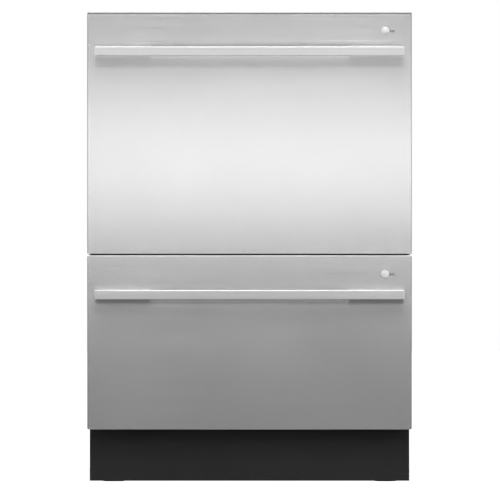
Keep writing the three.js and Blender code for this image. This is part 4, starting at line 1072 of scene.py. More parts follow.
@dataclass
class DrawerFront(DrawerPart):
    """The stainless front of one drawer, its bar handle, its start button and the small mark beside it."""

    sheet: float = 1.2 * MM
    side_fold: float = 0.7 * MM
    corner: float = 2.6 * MM
    fold_steps: int = 4
    back_border: float = 92 * MM
    bore_gap: float = 0.3 * MM
    bore_margin: float = 1.6
    collar: float = 8 * MM
    blade: float = 8 * MM
    blade_round: float = 0.9 * MM
    foot_width: float = 100 * MM
    foot_inset: float = 2 * MM
    foot_height: float = 15 * MM
    foot_round: float = 0.6 * MM
    dome: float = 1.1 * MM
    dome_steps: int = 8
    dome_step: float = 0.02 * MM
    button_edge: float = 0.25 * MM
    mark_start: float = 9.0 * MM
    mark_radius: float = 2.25 * MM
    mark_gap: float = 0.75 * MM
    mark_bar: float = 1.4 * MM
    mark_drop: float = 0.9 * MM
    ink: float = 0.04 * MM
    tip_turn: float = math.radians(-90)

    def button(self) -> tuple[Vector, float]:
        """Returns the middle of the button's face and its radius."""
        low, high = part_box(self.node("start_button"))
        middle = (low + high) / 2
        return Vector((middle.x, low.y, middle.z)), (high.x - low.x) / 2

    def build(self) -> None:
        """Builds the front's pieces."""
        self.skin()
        self.handle()
        self.start_button()
        self.start_mark()

    def skin(self) -> None:
        """Folds the front from one sheet, with a bore for the button and a return at the back."""
        low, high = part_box(self.node("front_panel"))
        form = Form()
        form.block(low, high)
        form.bevel(form.edges_along(Y_AXIS), self.corner, self.fold_steps)
        form.opened(Y_AXIS)
        form.bevel(form.face_towards(-Y_AXIS).edges, self.side_fold, self.fold_steps)
        self.bore(form)
        form.walled(form.bm.faces, self.sheet)
        self.back_return(form, low, high)
        self.add(form, "front_skin", FRONT_STEEL, "front_panel")

    def bore(self, form: Form) -> None:
        """Opens the round bore of the button and draws its collar inwards."""
        middle, radius = self.button()
        face = form.face_towards(-Y_AXIS)
        middle.y = face.calc_center_median().y
        reach = radius + self.bore_gap
        rim = form.round_hole(face, middle, -Y_AXIS, self.bore_margin * reach, reach)
        form.drawn(rim, Y_AXIS * self.collar)
        form.outward()

    def back_return(self, form: Form, low: Vector, high: Vector) -> None:
        """Adds the wide return around the open back.

        Args:
            form: the front.
            low: its lowest corner.
            high: its highest corner.
        """
        s = self.sheet
        before = set(form.bm.faces)
        form.block((low.x + s, high.y - s, low.z + s), (high.x - s, high.y, high.z - s))
        added = [f for f in form.bm.faces if f not in before]
        border = Vector((self.back_border, 0, self.back_border))
        ways = (Y_AXIS, -Y_AXIS)
        holes = [form.carved(form.face_towards(way, added), low + border, high - border) for way in ways]
        rims = [edge for hole in holes for edge in hole.edges]
        bmesh.ops.delete(form.bm, geom=holes, context="FACES_ONLY")
        bmesh.ops.bridge_loops(form.bm, edges=rims)

    def handle(self) -> None:
        """Makes the flat blade on its two wide feet."""
        low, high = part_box(self.node("handle"))
        form = Form()
        back = low.y + self.blade
        form.block(low, (high.x, back, high.z), self.blade_round, 3)
        for side in Side:
            edge = high.x if side is Side.RIGHT else -low.x
            left, right = sorted(side.value * (edge - self.foot_inset - off) for off in (0.0, self.foot_width))
            form.block((left, back - self.blade / 2, low.z + self.blade_round),
                       (right, high.y, low.z + self.foot_height), self.foot_round)
        self.add(form, "handle_bar", HANDLE_STEEL, "handle")

    def start_button(self) -> None:
        """Turns the domed button."""
        low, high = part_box(self.node("start_button"))
        middle, radius = self.button()
        length = high.y - low.y
        sphere = (radius**2 + self.dome**2) / (2 * self.dome)
        first = math.asin((sphere - self.dome) / sphere)
        turns = [first + (math.pi / 2 - first) * i / self.dome_steps for i in range(self.dome_steps)]
        dome = [(sphere * math.cos(a), length - sphere + sphere * math.sin(a)) for a in turns]
        shoulder = dome[0][1] - self.dome_step
        profile = [
            (0.0, 0.0), (radius, 0.0), (radius, shoulder - self.button_edge), (radius - self.button_edge, shoulder),
            *dome[1:], (0.0, length),
        ]
        form = Form()
        form.turned(profile, (middle.x, high.y, middle.z), -Y_AXIS, 48)
        self.add(form, "button_cap", BUTTON_METAL, "start_button", "start_button_body")

    def start_mark(self) -> None:
        """Prints a plain start and pause sign beside the button."""
        middle, _ = self.button()
        middle.z -= self.mark_drop
        face_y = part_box(self.node("front_panel"))[0].y
        start, radius, ink = middle.x + self.mark_start, self.mark_radius, self.ink
        turn = facing(-Y_AXIS) @ Matrix.Rotation(self.tip_turn, 4, "Z")
        form = Form()
        bmesh.ops.create_cone(
            form.bm, cap_ends=True, segments=3, radius1=radius, radius2=radius, depth=2 * ink,
            matrix=Matrix.Translation((start + radius / 2, face_y, middle.z)) @ turn,
        )
        bars = start + 1.5 * radius + self.mark_gap
        rise = math.sin(math.pi / 3) * radius
        for left in (bars, bars + self.mark_bar + self.mark_gap):
            right = left + self.mark_bar
            form.block((left, face_y - ink, middle.z - rise), (right, face_y + ink, middle.z + rise))
        self.add(form, "start_mark", MARK_INK)


# ----- Control strip -----


@dataclass
class ControlStrip(DrawerPart):
    """The key strip on the tub's front ledge, out of sight while the drawer is shut."""

    height: float = 10 * MM
    slope: float = 3 * MM
    round_by: float = 0.8 * MM
    keys: int = 6
    key_width: float = 26 * MM
    key_depth: float = 11 * MM
    key_spacing: float = 44 * MM
    key_end: float = 26.4 * MM
    key_proud: float = 0.8 * MM
    key_top: float = 0.98
    key_round: float = 0.5 * MM
    lamp_radius: float = 1.1 * MM
    lamp_gap: float = 2.6
    lamp_low: float = -0.3 * MM
    lamp_edge: float = 0.12 * MM
    lamp_top: float = 0.25 * MM

    def build(self) -> None:
        """Builds the strip, its keys and their lamps."""
        low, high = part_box(self.node("control_panel"))
        top = low.z + self.height
        middle_y = (low.y + high.y) / 2
        strip = Form()
        verts = strip.block(low, (high.x, high.y, top))
        for vert in verts:
            if vert.co.y > middle_y and vert.co.z > low.z + self.height / 2:
                vert.co.z -= self.slope
        strip.bevel(edges_of(verts), self.round_by)
        self.add(strip, "key_strip", BLACK, "control_panel")
        tilt = Matrix.Rotation(-math.atan(self.slope / (high.y - low.y)), 3, "X")
        half = Vector((self.key_width / 2, self.key_depth / 2, self.key_proud))
        radius = self.lamp_radius
        profile = [(radius, self.lamp_low), (radius, self.lamp_edge), (0.0, self.lamp_top)]
        keys, lamps = Form(), Form()
        for i in range(self.keys):
            spot = Vector((high.x - self.key_end - i * self.key_spacing, middle_y, top - self.slope / 2))
            made = keys.block(spot - half, spot + half * self.key_top, self.key_round)
            bmesh.ops.rotate(keys.bm, cent=spot, matrix=tilt, verts=made)
            beside = Vector((self.key_width / 2 + radius * self.lamp_gap, 0, 0))
            lamps.turned(profile, spot + beside, Z_AXIS, 16)
        self.add(keys, "keys", KEY_PALE)
        self.add(lamps, "key_lamps", LAMP_GREEN)


# ----- Tub and wash parts -----


@dataclass
class WashTub(DrawerPart):
    """The moulded tub of one drawer with its motor, filter plate and spray arm."""

    wall: float = 3.5 * MM
    flange: float = 3.7 * MM
    rim: float = 6 * MM
    rim_round: float = 1.5 * MM
    front_ledge: float = 29.7 * MM
    corner: float = 34 * MM
    round_by: float = 14 * MM
    sump_radius: float = 80 * MM
    sump_depth: float = 18 * MM
    sump_bore: float = 7 * MM
    sump_slope: float = 5 * MM
    sump_lip: float = 2 * MM
    sump_top: float = 1.5 * MM
    ledge_inset: float = 12 * MM
    ledge_round: float = 1.2 * MM
    top_ledge: float = 60 * MM
    low_ledge: float = 30 * MM
    ribs: Sequence[float] = (-190 * MM, -95 * MM, 0.0, 95 * MM, 190 * MM)
    rib_half: float = 1.5 * MM
    rib_round: float = 0.8 * MM
    rib_low: float = 20 * MM
    rib_high: float = 14 * MM
    rib_root: float = 1 * MM
    rib_depth: float = 3 * MM
    shell_height: float = 30 * MM
    shell_edge: Profile = ((-16, 0), (-6, 1.5), (-1.5, 6))
    fin: Profile = ((-2.5, 0), (0, 0.6), (0, 2.6), (-2.5, 3.2))
    fins: int = 4
    fin_start: float = 8 * MM
    fin_spacing: float = 5 * MM
    shoulder: Profile = ((-1, -1), (-3, 0))
    shaft_root: Profile = ((14, 0), (6, 1))
    shaft_tip: Profile = ((6, -1), (5, 0), (0, 0))
    plate_height: float = 10 * MM
    plate_wall: float = 2.4 * MM
    plate_corner: float = 30.5 * MM
    plate_edge: float = 2 * MM
    hub_hole: float = 27 * MM
    hub_margin: float = 30 * MM
    hub_ring: Profile = ((27, -2), (27, 1.2), (29, 1.8), (33, 1.2), (34, -1))
    grip_place: float = 165 * MM
    grip_ring: Profile = ((27, -1), (27.5, 2.2), (28.2, 3), (29.4, 3), (30, 2.4), (30, -1))
    grip_half: Point = (28 * MM, 2.5 * MM)
    grip_low: float = 0.5 * MM
    grip_high: float = 3 * MM
    grip_round: float = 1 * MM
    blade_drop: float = 4 * MM
    blade_height: float = 11 * MM
    blade_start: float = 8 * MM
    blade_half: float = 26 * MM
    blade_taper: Point = (0.64, 0.8)
    blade_lift: float = 0.6 * MM
    blade_end: float = 15 * MM
    blade_round: float = 2.4 * MM
    nozzles: Sequence[float] = (62 * MM, 98 * MM, 131 * MM, 160 * MM, 186 * MM)
    nozzle_off: float = 4 * MM
    nozzle_drop: float = 0.01
    nozzle: Profile = ((3.4, -1), (3.4, 0.5), (2.8, 1.1), (1.3, 1.1), (0.9, -0.6), (0, -0.6))
    hub_base: Profile = ((6.4, 0), (20, 0), (21, 1))
    hub_crown: Profile = ((21, -3), (19, -0.8), (15, 0), (4, 0), (3, -1.2), (0, -1.2))

    def build(self) -> None:
        """Builds the tub and what is in it."""
        self.shell()
        self.motor()
        self.filter_plate()
        self.spray_arm()

    def shell(self) -> None:
        """Draws the tub from its floor up to the rim."""
        low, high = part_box(self.node("tub"))
        half_x = high.x - self.flange
        front, back = low.y + self.front_ledge, high.y - self.flange
        bottom = low.z + self.sump_depth
        inner = self.wall + self.round_by
        form = Form()
        _, ring = form.rounded_plate(
            (-half_x + inner, front + inner), (half_x - inner, back - inner), bottom + self.wall, self.corner - inner,
        )
        ring = form.fillet(ring, self.round_by)
        rolled = (
            (0.0, high.z - self.rim_round - (bottom + inner)),
            (0.4 * MM, 1.1 * MM),
            (1.1 * MM, 0.4 * MM),
            (self.wall + self.flange - 2.3 * MM, 0.0),
            (0.6 * MM, -0.3 * MM),
            (0.2 * MM, -self.rim + 0.3 * MM),
        )
        for outward, up in rolled:
            ring = form.rise(ring, outward, up)
        form.outward()
        form.walled(form.bm.faces, self.wall * 0.97)
        self.sump(form, (0.0, (front + back) / 2, bottom))
        ledge_x = half_x - self.ledge_inset
        for z0, z1 in ((high.z - self.top_ledge, high.z), (bottom, bottom + self.low_ledge)):
            form.block((-ledge_x, low.y, z0), (ledge_x, front + self.wall / 2, z1), self.ledge_round)
        for x in self.ribs:
            form.block(
                (x - self.rib_half, back - self.rib_root, bottom + self.rib_low),
                (x + self.rib_half, back + self.rib_depth, high.z - self.rib_high), self.rib_round,
            )
        self.add(form, "wash_tub", TUB_WHITE, "tub")

    def sump(self, form: Form, middle: Point) -> None:
        """Turns the round sump under the tub's floor, around the bore for the motor's shaft.

        Args:
            form: the tub.
            middle: the middle of the floor's underside.
        """
        radius, depth, slope = self.sump_radius, self.sump_depth, self.sump_slope
        cut, top = self.sump_lip, self.sump_top
        form.turned(
            [
                (radius - cut, top), (radius, -1 * MM), (radius, -depth + slope), (radius - slope, -depth),
                (self.sump_bore, -depth), (self.sump_bore, -depth + self.wall),
                (radius - slope - cut, -depth + self.wall), (radius - self.wall, -depth + slope + cut),
                (radius - self.wall, top), (radius - cut, top),
            ],
            middle, Z_AXIS, 48,
        )

    def motor(self) -> None:
        """Turns the flat motor with its cooling ribs and its shaft."""
        low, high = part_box(self.node("wash_motor"))
        radius, height = (high.x - low.x) / 2, high.z - low.z
        profile = [(0.0, 0.0), *in_mm(self.shell_edge, radius)]
        for i in range(self.fins):
            profile += in_mm(self.fin, radius, self.fin_start + i * self.fin_spacing)
        profile += in_mm(self.shoulder, radius, self.shell_height)
        profile += in_mm(self.shaft_root, 0.0, self.shell_height) + in_mm(self.shaft_tip, 0.0, height)
        form = Form()
        form.turned(profile, ((low.x + high.x) / 2, (low.y + high.y) / 2, low.z), Z_AXIS, 56)
        self.add(form, "pump_motor", MOTOR, "wash_motor")

    def filter_plate(self) -> None:
        """Makes the strainer plate over the tub's floor, with its hub hole and turning grip."""
        low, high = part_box(self.node("filter_plate"))
        top, edge = low.z + self.plate_height, self.plate_edge
        form = Form()
        face, ring = form.rounded_plate(
            (low.x + edge, low.y + edge), (high.x - edge, high.y - edge), top, self.plate_corner - edge,
        )
        for outward, up in ((1.4 * MM, -0.6 * MM), (0.6 * MM, -1.4 * MM), (0.0, edge - self.plate_height)):
            ring = form.rise(ring, outward, up)
        form.outward()
        middle = Vector((0.0, face.calc_center_median().y, top))
        form.round_hole(face, middle, Z_AXIS, self.hub_margin, self.hub_hole)
        form.outward()
        form.walled(form.bm.faces, self.plate_wall)
        middle_y = (low.y + high.y) / 2
        form.turned(in_mm(self.hub_ring), (0.0, middle_y, top), Z_AXIS, 48)
        grip_y = middle_y + self.grip_place
        form.turned(in_mm(self.grip_ring), (0.0, grip_y, top), Z_AXIS, 48)
        half_x, half_y = self.grip_half
        form.block((-half_x, grip_y - half_y, top - self.grip_low), (half_x, grip_y + half_y, top + self.grip_high),
                   self.grip_round, 3)
        self.add(form, "filter_cover", STRAINER, "filter_plate")

    def spray_arm(self) -> None:
        """Makes the two-bladed arm with its nozzles and hub."""
        low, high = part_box(self.node("spray_arm"))
        middle_y = (low.y + high.y) / 2
        blade_top = high.z - self.blade_drop
        form = Form()
        for side in Side:
            self.blade(form, high.x, middle_y, blade_top)
            if side is Side.LEFT:
                turn = Matrix.Rotation(math.pi, 3, "Z")
                bmesh.ops.rotate(form.bm, cent=(0, middle_y, 0), matrix=turn, verts=form.bm.verts)
        for side in Side:
            for i, place in enumerate(self.nozzles):
                off = self.nozzle_off * (side.value if i % 2 else -side.value)
                spot = (side.value * place, middle_y + off, blade_top - self.nozzle_drop * place)
                form.turned(in_mm(self.nozzle), spot, Z_AXIS, 14)
        hub = in_mm(self.hub_base) + in_mm(self.hub_crown, 0.0, high.z - low.z)
        form.turned(hub, (0, middle_y, low.z), Z_AXIS, 40)
        self.add(form, "spray_blades", GREY, "spray_arm", "spray_arm_body")

    def blade(self, form: Form, reach: float, middle_y: float, top: float) -> None:
        """Adds one tapered blade that points to the right.

        Args:
            form: the arm.
            reach: how far the blade goes.
            middle_y: the arm's middle.
            top: the blade's top at its root.
        """
        start, bottom = self.blade_start, top - self.blade_height
        narrow, thin = self.blade_taper
        verts = form.block((start, middle_y - self.blade_half, bottom), (reach, middle_y + self.blade_half, top))
        near = 1 * MM
        for vert in verts:
            if vert.co.x > start + near:
                vert.co.y = middle_y + (vert.co.y - middle_y) * narrow
                vert.co.z = bottom + (vert.co.z - bottom) * thin + self.blade_lift
        upright = form.edges_along(Z_AXIS, edges_of(verts))
        form.bevel([e for e in upright if e.verts[0].co.x > start + near], self.blade_end, 6)
        arm = [v for v in form.bm.verts if v.co.x > start - near and abs(v.co.y - middle_y) < 1.5 * self.blade_half]
        upper = [
            e for e in edges_of(arm)
            if all(end.co.z > bottom + self.blade_height / 2 for end in e.verts)
            and e.is_manifold and e.calc_face_angle(0) > math.radians(45)
        ]
        form.bevel(upper, self.blade_round, 3)


# ----- Racks -----


@dataclass
class DishRack(DrawerPart):
    """The coated wire rack of one drawer, with its folding tines, cup shelf and cutlery basket."""

    wire: float = 2 * MM
    corner: float = 24 * MM
    bend: float = 7 * MM
    weld: float = 0.5 * MM
    hoop_rise: float = 12 * MM
    hoop_spacing: float = 85 * MM
    shelf_depth: float = 88 * MM
    runs: int = 5
    front_cross: float = 27.5 * MM
    front_tines: float = 101.5 * MM
    fold_row: float = 185.5 * MM
    rear_tines: float = 48.5 * MM
    plain_behind: int = 2
    tine_start: float = -205 * MM
    tine_spacing: float = 42 * MM
    tines: int = 8
    tine_height: float = 60 * MM
    fold_tines: int = 6
    fold_height: float = 68 * MM
    rod: float = 2.5 * MM
    clip_lift: float = 1.2 * MM
    clip_wall: float = 2.4 * MM
    clip_half: float = 4 * MM
    clip_edge: float = 0.6 * MM
    clip_root: Point = (0.9 * MM, 3.2 * MM)
    clip_inset: float = 0.8 * MM
    clip_round: float = 0.5 * MM
    shelf_clip: float = 8 * MM
    foot_place: float = 17 * MM
    foot_start: float = 0.4 * MM
    foot_cap: Profile = ((0, 0), (3.4, 0), (4, 1), (3.6, 7))
    foot_top: float = 8.5 * MM
    loop_end: float = 24 * MM
    loop_bend: float = 6 * MM
    loop_bars: int = 4
    holder_wall: float = 1.8 * MM
    holder_inset: float = 0.7 * MM
    holder_height: float = 108 * MM
    holder_bar: float = 1.3 * MM
    holder_cells: tuple[int, int, int] = (7, 20, 6)
    post: float = 4 * MM
    post_round: float = 1 * MM
    rim: float = 5 * MM
    rim_round: float = 0.7 * MM
    divider_cells: tuple[int, int] = (6, 5)
    divider_bar: Point = (9 * MM, 1 * MM)
    divider_round: float = 0.6 * MM
    grip: float = 3.6 * MM
    grip_bend: float = 9 * MM
    grip_drop: float = 4 * MM
    grip_root: float = 8 * MM

    def build(self) -> None:
        """Builds the rack and what it carries."""
        self.basket()
        self.folding_tines()
        self.cup_shelf()
        self.cutlery()

    def spread(self, half: float) -> list[float]:
        """Returns places spread evenly between the rounded corners of a side."""
        reach = half - self.corner - 2 * self.wire
        return [-reach + 2 * reach * i / (self.runs - 1) for i in range(self.runs)]

    def basket(self) -> None:
        """Bends and welds the rack's wires."""
        low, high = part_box(self.node("rack"))
        w = self.wire
        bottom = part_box(self.node("cutlery_basket"))[0].z - SEAT_GAP - 4 * w + self.weld
        inset = 3 * w - self.weld
        low_z = bottom + w
        cross_z = low_z + 2 * w - self.weld
        high_z = high.z - self.weld - w
        side, front, back = high.x - inset, low.y + inset, high.y - inset
        shelf_rod = high.z - self.shelf_depth
        first, last = bottom + self.hoop_rise, shelf_rod - w
        steps = math.ceil((last - first) / self.hoop_spacing)
        form = Form()
        for z in [high.z - 2 * w] + [first + (last - first) * i / steps for i in range(steps + 1)]:
            self.hoop(form, low, high, z + w)
        for x in self.spread(high.x):
            form.wire([(x, front, high_z), (x, front, low_z), (x, back, low_z), (x, back, high_z)], w, self.bend)
        fold_y, rear_y = low.y + self.fold_row, high.y - self.rear_tines
        rows = [low.y + self.front_tines, rear_y]
        behind = [fold_y + (rear_y - fold_y) * i / (self.plain_behind + 1) for i in range(1, self.plain_behind + 1)]
        for y in [low.y + self.front_cross, *behind, fold_y, *rows]:
            form.wire([(-side, y, high_z), (-side, y, cross_z), (side, y, cross_z), (side, y, high_z)], w, self.bend)
        for y in rows:
            for i in range(self.tines):
                x = self.tine_start + i * self.tine_spacing
                form.wire([(x, y, cross_z), (x, y, cross_z + self.tine_height - w)], w, sides=8)
        for x in (self.tine_start, self.tine_start + self.fold_tines * self.tine_spacing):
            self.clip(form, Vector((x, fold_y, cross_z + w + self.clip_lift + self.rod)), X_AXIS, -Z_AXIS)
        shelf_low, shelf_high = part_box(self.node("cup_shelf"))
        rod_x = (shelf_low.x + shelf_high.x) / 2
        for y in (shelf_low.y + self.shelf_clip, shelf_high.y - self.shelf_clip):
            self.clip(form, Vector((rod_x, y, shelf_rod)), Y_AXIS, -X_AXIS)
        edge = self.spread(high.x)[-1]
        for x in (-edge, edge):
            for y in (front + self.foot_place, back - self.foot_place):
                form.wire([(x, y, low_z), (x, y, low.z + self.foot_start)], w, sides=8)
                form.turned([*in_mm(self.foot_cap), (w, self.foot_top)], (x, y, low.z), Z_AXIS, 14)
        self.add(form, "dish_rack", RACK_COAT, "rack", smooth=50)

    def hoop(self, form: Form, low: Vector, high: Vector, z: float) -> None:
        """Adds one closed hoop around the rack.

        Args:
            form: the rack.
            low: the rack's lowest corner.
            high: its highest corner.
            z: the height of the wire's middle.
        """
        w = self.wire
        x, y0, y1 = high.x - w, low.y + w, high.y - w
        corners = [(0, y0, z), (x, y0, z), (x, y1, z), (-x, y1, z), (-x, y0, z)]
        form.wire(corners, w, self.corner - w, closed=True, bend_steps=6)

    def clip(self, form: Form, middle: Vector, along: Vector, root: Vector) -> None:
        """Adds a moulded clip around a rod, rooted in the wires.

        Args:
            form: the rack.
            middle: the clip's middle, on the rod's axis.
            along: the way that the rod runs.
            root: the way to the wire that holds the clip.
        """
        inner, outer = self.rod + SEAT_GAP, self.rod + self.clip_wall
        half, edge = self.clip_half, self.clip_edge
        form.turned(
            [
                (inner, -half), (outer - edge, -half), (outer, -half + edge), (outer, half - edge),
                (outer - edge, half), (inner, half), (inner, -half),
            ],
            middle, along, 20,
        )
        length = along * (half - self.clip_inset)
        width = along.cross(root) * self.clip_wall
        near, far = self.clip_root
        ends = (middle + root * (self.rod + near), middle + root * (outer + far))
        spots = [end + length * s + width * r for end in ends for s in (-1, 1) for r in (-1, 1)]
        low, high = ([pick(spot[i] for spot in spots) for i in range(3)] for pick in (min, max))
        form.block(low, high, self.clip_round)

    def folding_tines(self) -> None:
        """Bends the row of tines on its rod."""
        low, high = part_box(self.node("folding_tines"))
        y, z = (low.y + high.y) / 2, low.z + self.rod
        form = Form()
        form.wire([(low.x, y, z), (high.x, y, z)], self.rod, sides=12)
        for i in range(self.fold_tines):
            x = self.tine_start + (i + 0.5) * self.tine_spacing
            form.wire([(x, y, z), (x, y, z + self.fold_height - self.wire)], self.wire)
        self.add(form, "fold_row", RACK_COAT, "folding_tines", "folding_tines_body", smooth=50)

    def cup_shelf(self) -> None:
        """Bends the cup shelf: its rod, its loops and its outer bar."""
        low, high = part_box(self.node("cup_shelf"))
        x, z, top = (low.x + high.x) / 2, low.z + self.rod, high.z - self.wire
        form = Form()
        form.wire([(x, low.y, z), (x, high.y, z)], self.rod, sides=12)
        y0, y1 = low.y + self.loop_end, high.y - self.loop_end
        form.wire([(x, y0, z), (x, y0, top), (x, y1, top), (x, y1, z)], self.wire, self.loop_bend)
        for i in range(1, self.loop_bars + 1):
            y = y0 + (y1 - y0) * i / (self.loop_bars + 1)
            form.wire([(x, y, z), (x, y, top)], self.wire)
        self.add(form, "cup_rack", RACK_COAT, "cup_shelf", "cup_shelf_body", smooth=50)

    def cutlery(self) -> None:
        """Builds the slotted cutlery basket with its posts, rims, dividers and grip."""
        low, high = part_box(self.node("cutlery_basket"))
        wall, inset, post, rim, bar = self.holder_wall, self.holder_inset, self.post, self.rim, self.holder_bar
        cells_x, cells_y, cells_z = self.holder_cells
        top = low.z + self.holder_height
        inner, outer = low + Vector.Fill(3, inset), Vector((high.x - inset, high.y - inset, top - inset))
        across, along, up = X_AXIS * (outer.x - inner.x), Y_AXIS * (outer.y - inner.y), Z_AXIS * (outer.z - inner.z)
        form = Form()
        form.lattice(inner, across, along, (cells_x, cells_y), bar, Z_AXIS * wall)
        for corner, grow in ((inner, wall), (outer, -wall)):
            form.lattice((corner.x, inner.y, inner.z), along, up, (cells_y, cells_z), bar, X_AXIS * grow)
            form.lattice((inner.x, corner.y, inner.z), across, up, (cells_x, cells_z), bar, Y_AXIS * grow)
        for x in (low.x, high.x - post):
            for y in (low.y, high.y - post):
                form.block((x, y, low.z), (x + post, y + post, top), self.post_round)
        deep = wall + inset
        for z in (low.z, top - rim):
            for x in (low.x, high.x - deep):
                form.block((x, low.y + post / 2, z), (x + deep, high.y - post / 2, z + rim), self.rim_round)
            for y in (low.y, high.y - deep):
                form.block((low.x + post / 2, y, z), (high.x - post / 2, y + deep, z + rim), self.rim_round)
        third = (high.y - low.y - wall) / 3
        dividers = [low.y + i * third + wall / 2 for i in (1, 2)]
        below, above = self.divider_bar
        for y in dividers:
            start = (inner.x + wall, y - wall / 2, low.z + rim)
            width, height = X_AXIS * (across.x - 2 * wall), Z_AXIS * (up.z - 2 * rim)
            form.lattice(start, width, height, self.divider_cells, bar, Y_AXIS * wall)
            form.block((low.x + wall, y - wall / 2, top - below), (high.x - wall, y + wall / 2, top - above),
                       self.divider_round)
        x, z0, z1 = (low.x + high.x) / 2, top - self.grip_root, high.z - self.grip_drop
        y0, y1 = dividers
        grip = [(x, y0, z0), (x, y0, z1), (x, y1, z1), (x, y1, z0)]
        form.wire(grip, self.grip, self.grip_bend, sides=14, bend_steps=6)
        self.add(form, "cutlery_holder", GREY, "cutlery_basket")


# ----- Detergent dispenser -----


@dataclass
class Dispenser(DrawerPart):
    """The detergent dispenser on the tub's inside front wall, its sliding flap and its rinse-aid cap."""

    depth: float = 14 * MM
    edge_round: float = 1.4 * MM
    cup_depth: float = 10.5 * MM
    cup_half: Point = (26 * MM, 21 * MM)
    rail_place: float = 25.3 * MM
    rail_width: float = 3 * MM
    rail_reach: Point = (76 * MM, 30 * MM)
    rail_root: float = 1 * MM
    rail_proud: float = 3.3 * MM
    rail_round: float = 0.7 * MM
    cap_bore: float = 9.3 * MM
    bore_ring: Profile = ((0, -0.5), (0.4, 0.12), (6.5, 0.12), (7, -0.5))
    screw_place: Point = (6 * MM, 29 * MM)
    screw_radius: float = 2.6 * MM
    flap_sheet: float = 3 * MM
    flap_round: float = 0.8 * MM
    rib_place: Point = (3 * MM, 8 * MM)
    rib_half: float = 12.5 * MM
    rib_round: float = 1.1 * MM
    grooves: int = 4
    groove_start: float = 16 * MM
    groove_spacing: float = 5 * MM
    groove_width: float = 2 * MM
    groove_half: float = 9 * MM
    groove_proud: float = 0.7 * MM
    groove_round: float = 0.5 * MM
    cap_stem: Profile = ((0, 0), (8.2, 0), (9, 0.8), (9, 8.3))
    cap_head: Profile = ((16.2, 8.3), (17, 9.1), (17, 12.1), (15.8, 13.3), (0, 13.3))
    grip_half: Point = (13.5 * MM, 2.5 * MM)
    grip_depth: float = 5 * MM
    grip_round: float = 1.2 * MM

    def build(self) -> None:
        """Builds the body, the flap and the cap."""
        low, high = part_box(self.node("detergent_dispenser"))
        flap_low, flap_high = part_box(self.node("dispenser_flap"))
        cap_low, cap_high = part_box(self.node("rinse_aid_cap"))
        face = low.y + self.depth
        cup_x, z = (flap_low.x + flap_high.x) / 2, (low.z + high.z) / 2
        form = Form()
        form.block(low, (high.x, face, high.z))
        half, middle = Vector((self.cup_half[0], 0, self.cup_half[1])), Vector((cup_x, face, z))
        cup = form.carved(form.face_towards(Y_AXIS), middle - half, middle + half)
        pushed = bmesh.ops.extrude_discrete_faces(form.bm, faces=[cup])["faces"][0]
        bmesh.ops.translate(form.bm, vec=-Y_AXIS * self.cup_depth, verts=list(pushed.verts))
        near = 1e-7
        sharp = [
            e for e in form.bm.edges
            if all(abs(v.co.y - face) < near for v in e.verts) and e.is_manifold and e.calc_face_angle(0) > 1.0
        ]
        form.bevel(sharp, self.edge_round, 3)
        left, right = self.rail_reach
        for sign in (-1, 1):
            z0, z1 = sorted((z + sign * self.rail_place, z + sign * (self.rail_place + self.rail_width)))
            form.block((cup_x - left, face - self.rail_root, z0), (cup_x + right, face + self.rail_proud, z1),
                       self.rail_round)
        cap_x = (cap_low.x + cap_high.x) / 2
        form.turned(in_mm(self.bore_ring, self.cap_bore), (cap_x, face, z), Y_AXIS, 32)
        inset, rise = self.screw_place
        for x in (low.x + inset, high.x - inset):
            for screw_z in (z + rise, z - rise):
                form.screw((x, face, screw_z), Y_AXIS, self.screw_radius)
        self.add(form, "dispenser_body", GREY, "detergent_dispenser")
        self.flap(flap_low, flap_high)
        self.cap(cap_low, cap_high)

    def flap(self, low: Vector, high: Vector) -> None:
        """Makes the sliding flap with its finger rib and arrow grooves.

        Args:
            low: its lowest corner.
            high: its highest corner.
        """
        form = Form()
        sheet = low.y + self.flap_sheet
        form.block(low, (high.x, sheet, high.z), self.flap_round)
        z = (low.z + high.z) / 2
        first, last = self.rib_place
        form.block((low.x + first, low.y + 1 * MM, z - self.rib_half), (low.x + last, high.y, z + self.rib_half),
                   self.rib_round, 3)
        for i in range(self.grooves):
            x = low.x + self.groove_start + i * self.groove_spacing
            form.block((x, low.y + 2 * MM, z - self.groove_half),
                       (x + self.groove_width, sheet + self.groove_proud, z + self.groove_half), self.groove_round)
        self.add(form, "flap_slide", LID_GREY, "dispenser_flap", "dispenser_flap_body")

    def cap(self, low: Vector, high: Vector) -> None:
        """Turns the rinse-aid cap with its grip bar.

        Args:
            low: its lowest corner.
            high: its highest corner.
        """
        x, z = (low.x + high.x) / 2, (low.z + high.z) / 2
        form = Form()
        form.turned(in_mm(self.cap_stem) + in_mm(self.cap_head), (x, low.y, z), Y_AXIS, 48)
        half_x, half_z = self.grip_half
        form.block((x - half_x, high.y - self.grip_depth, z - half_z), (x + half_x, high.y, z + half_z),
                   self.grip_round, 3)
        self.add(form, "rinse_cap", BLACK, "rinse_aid_cap", "rinse_aid_cap_body")


# ----- Wash lid -----


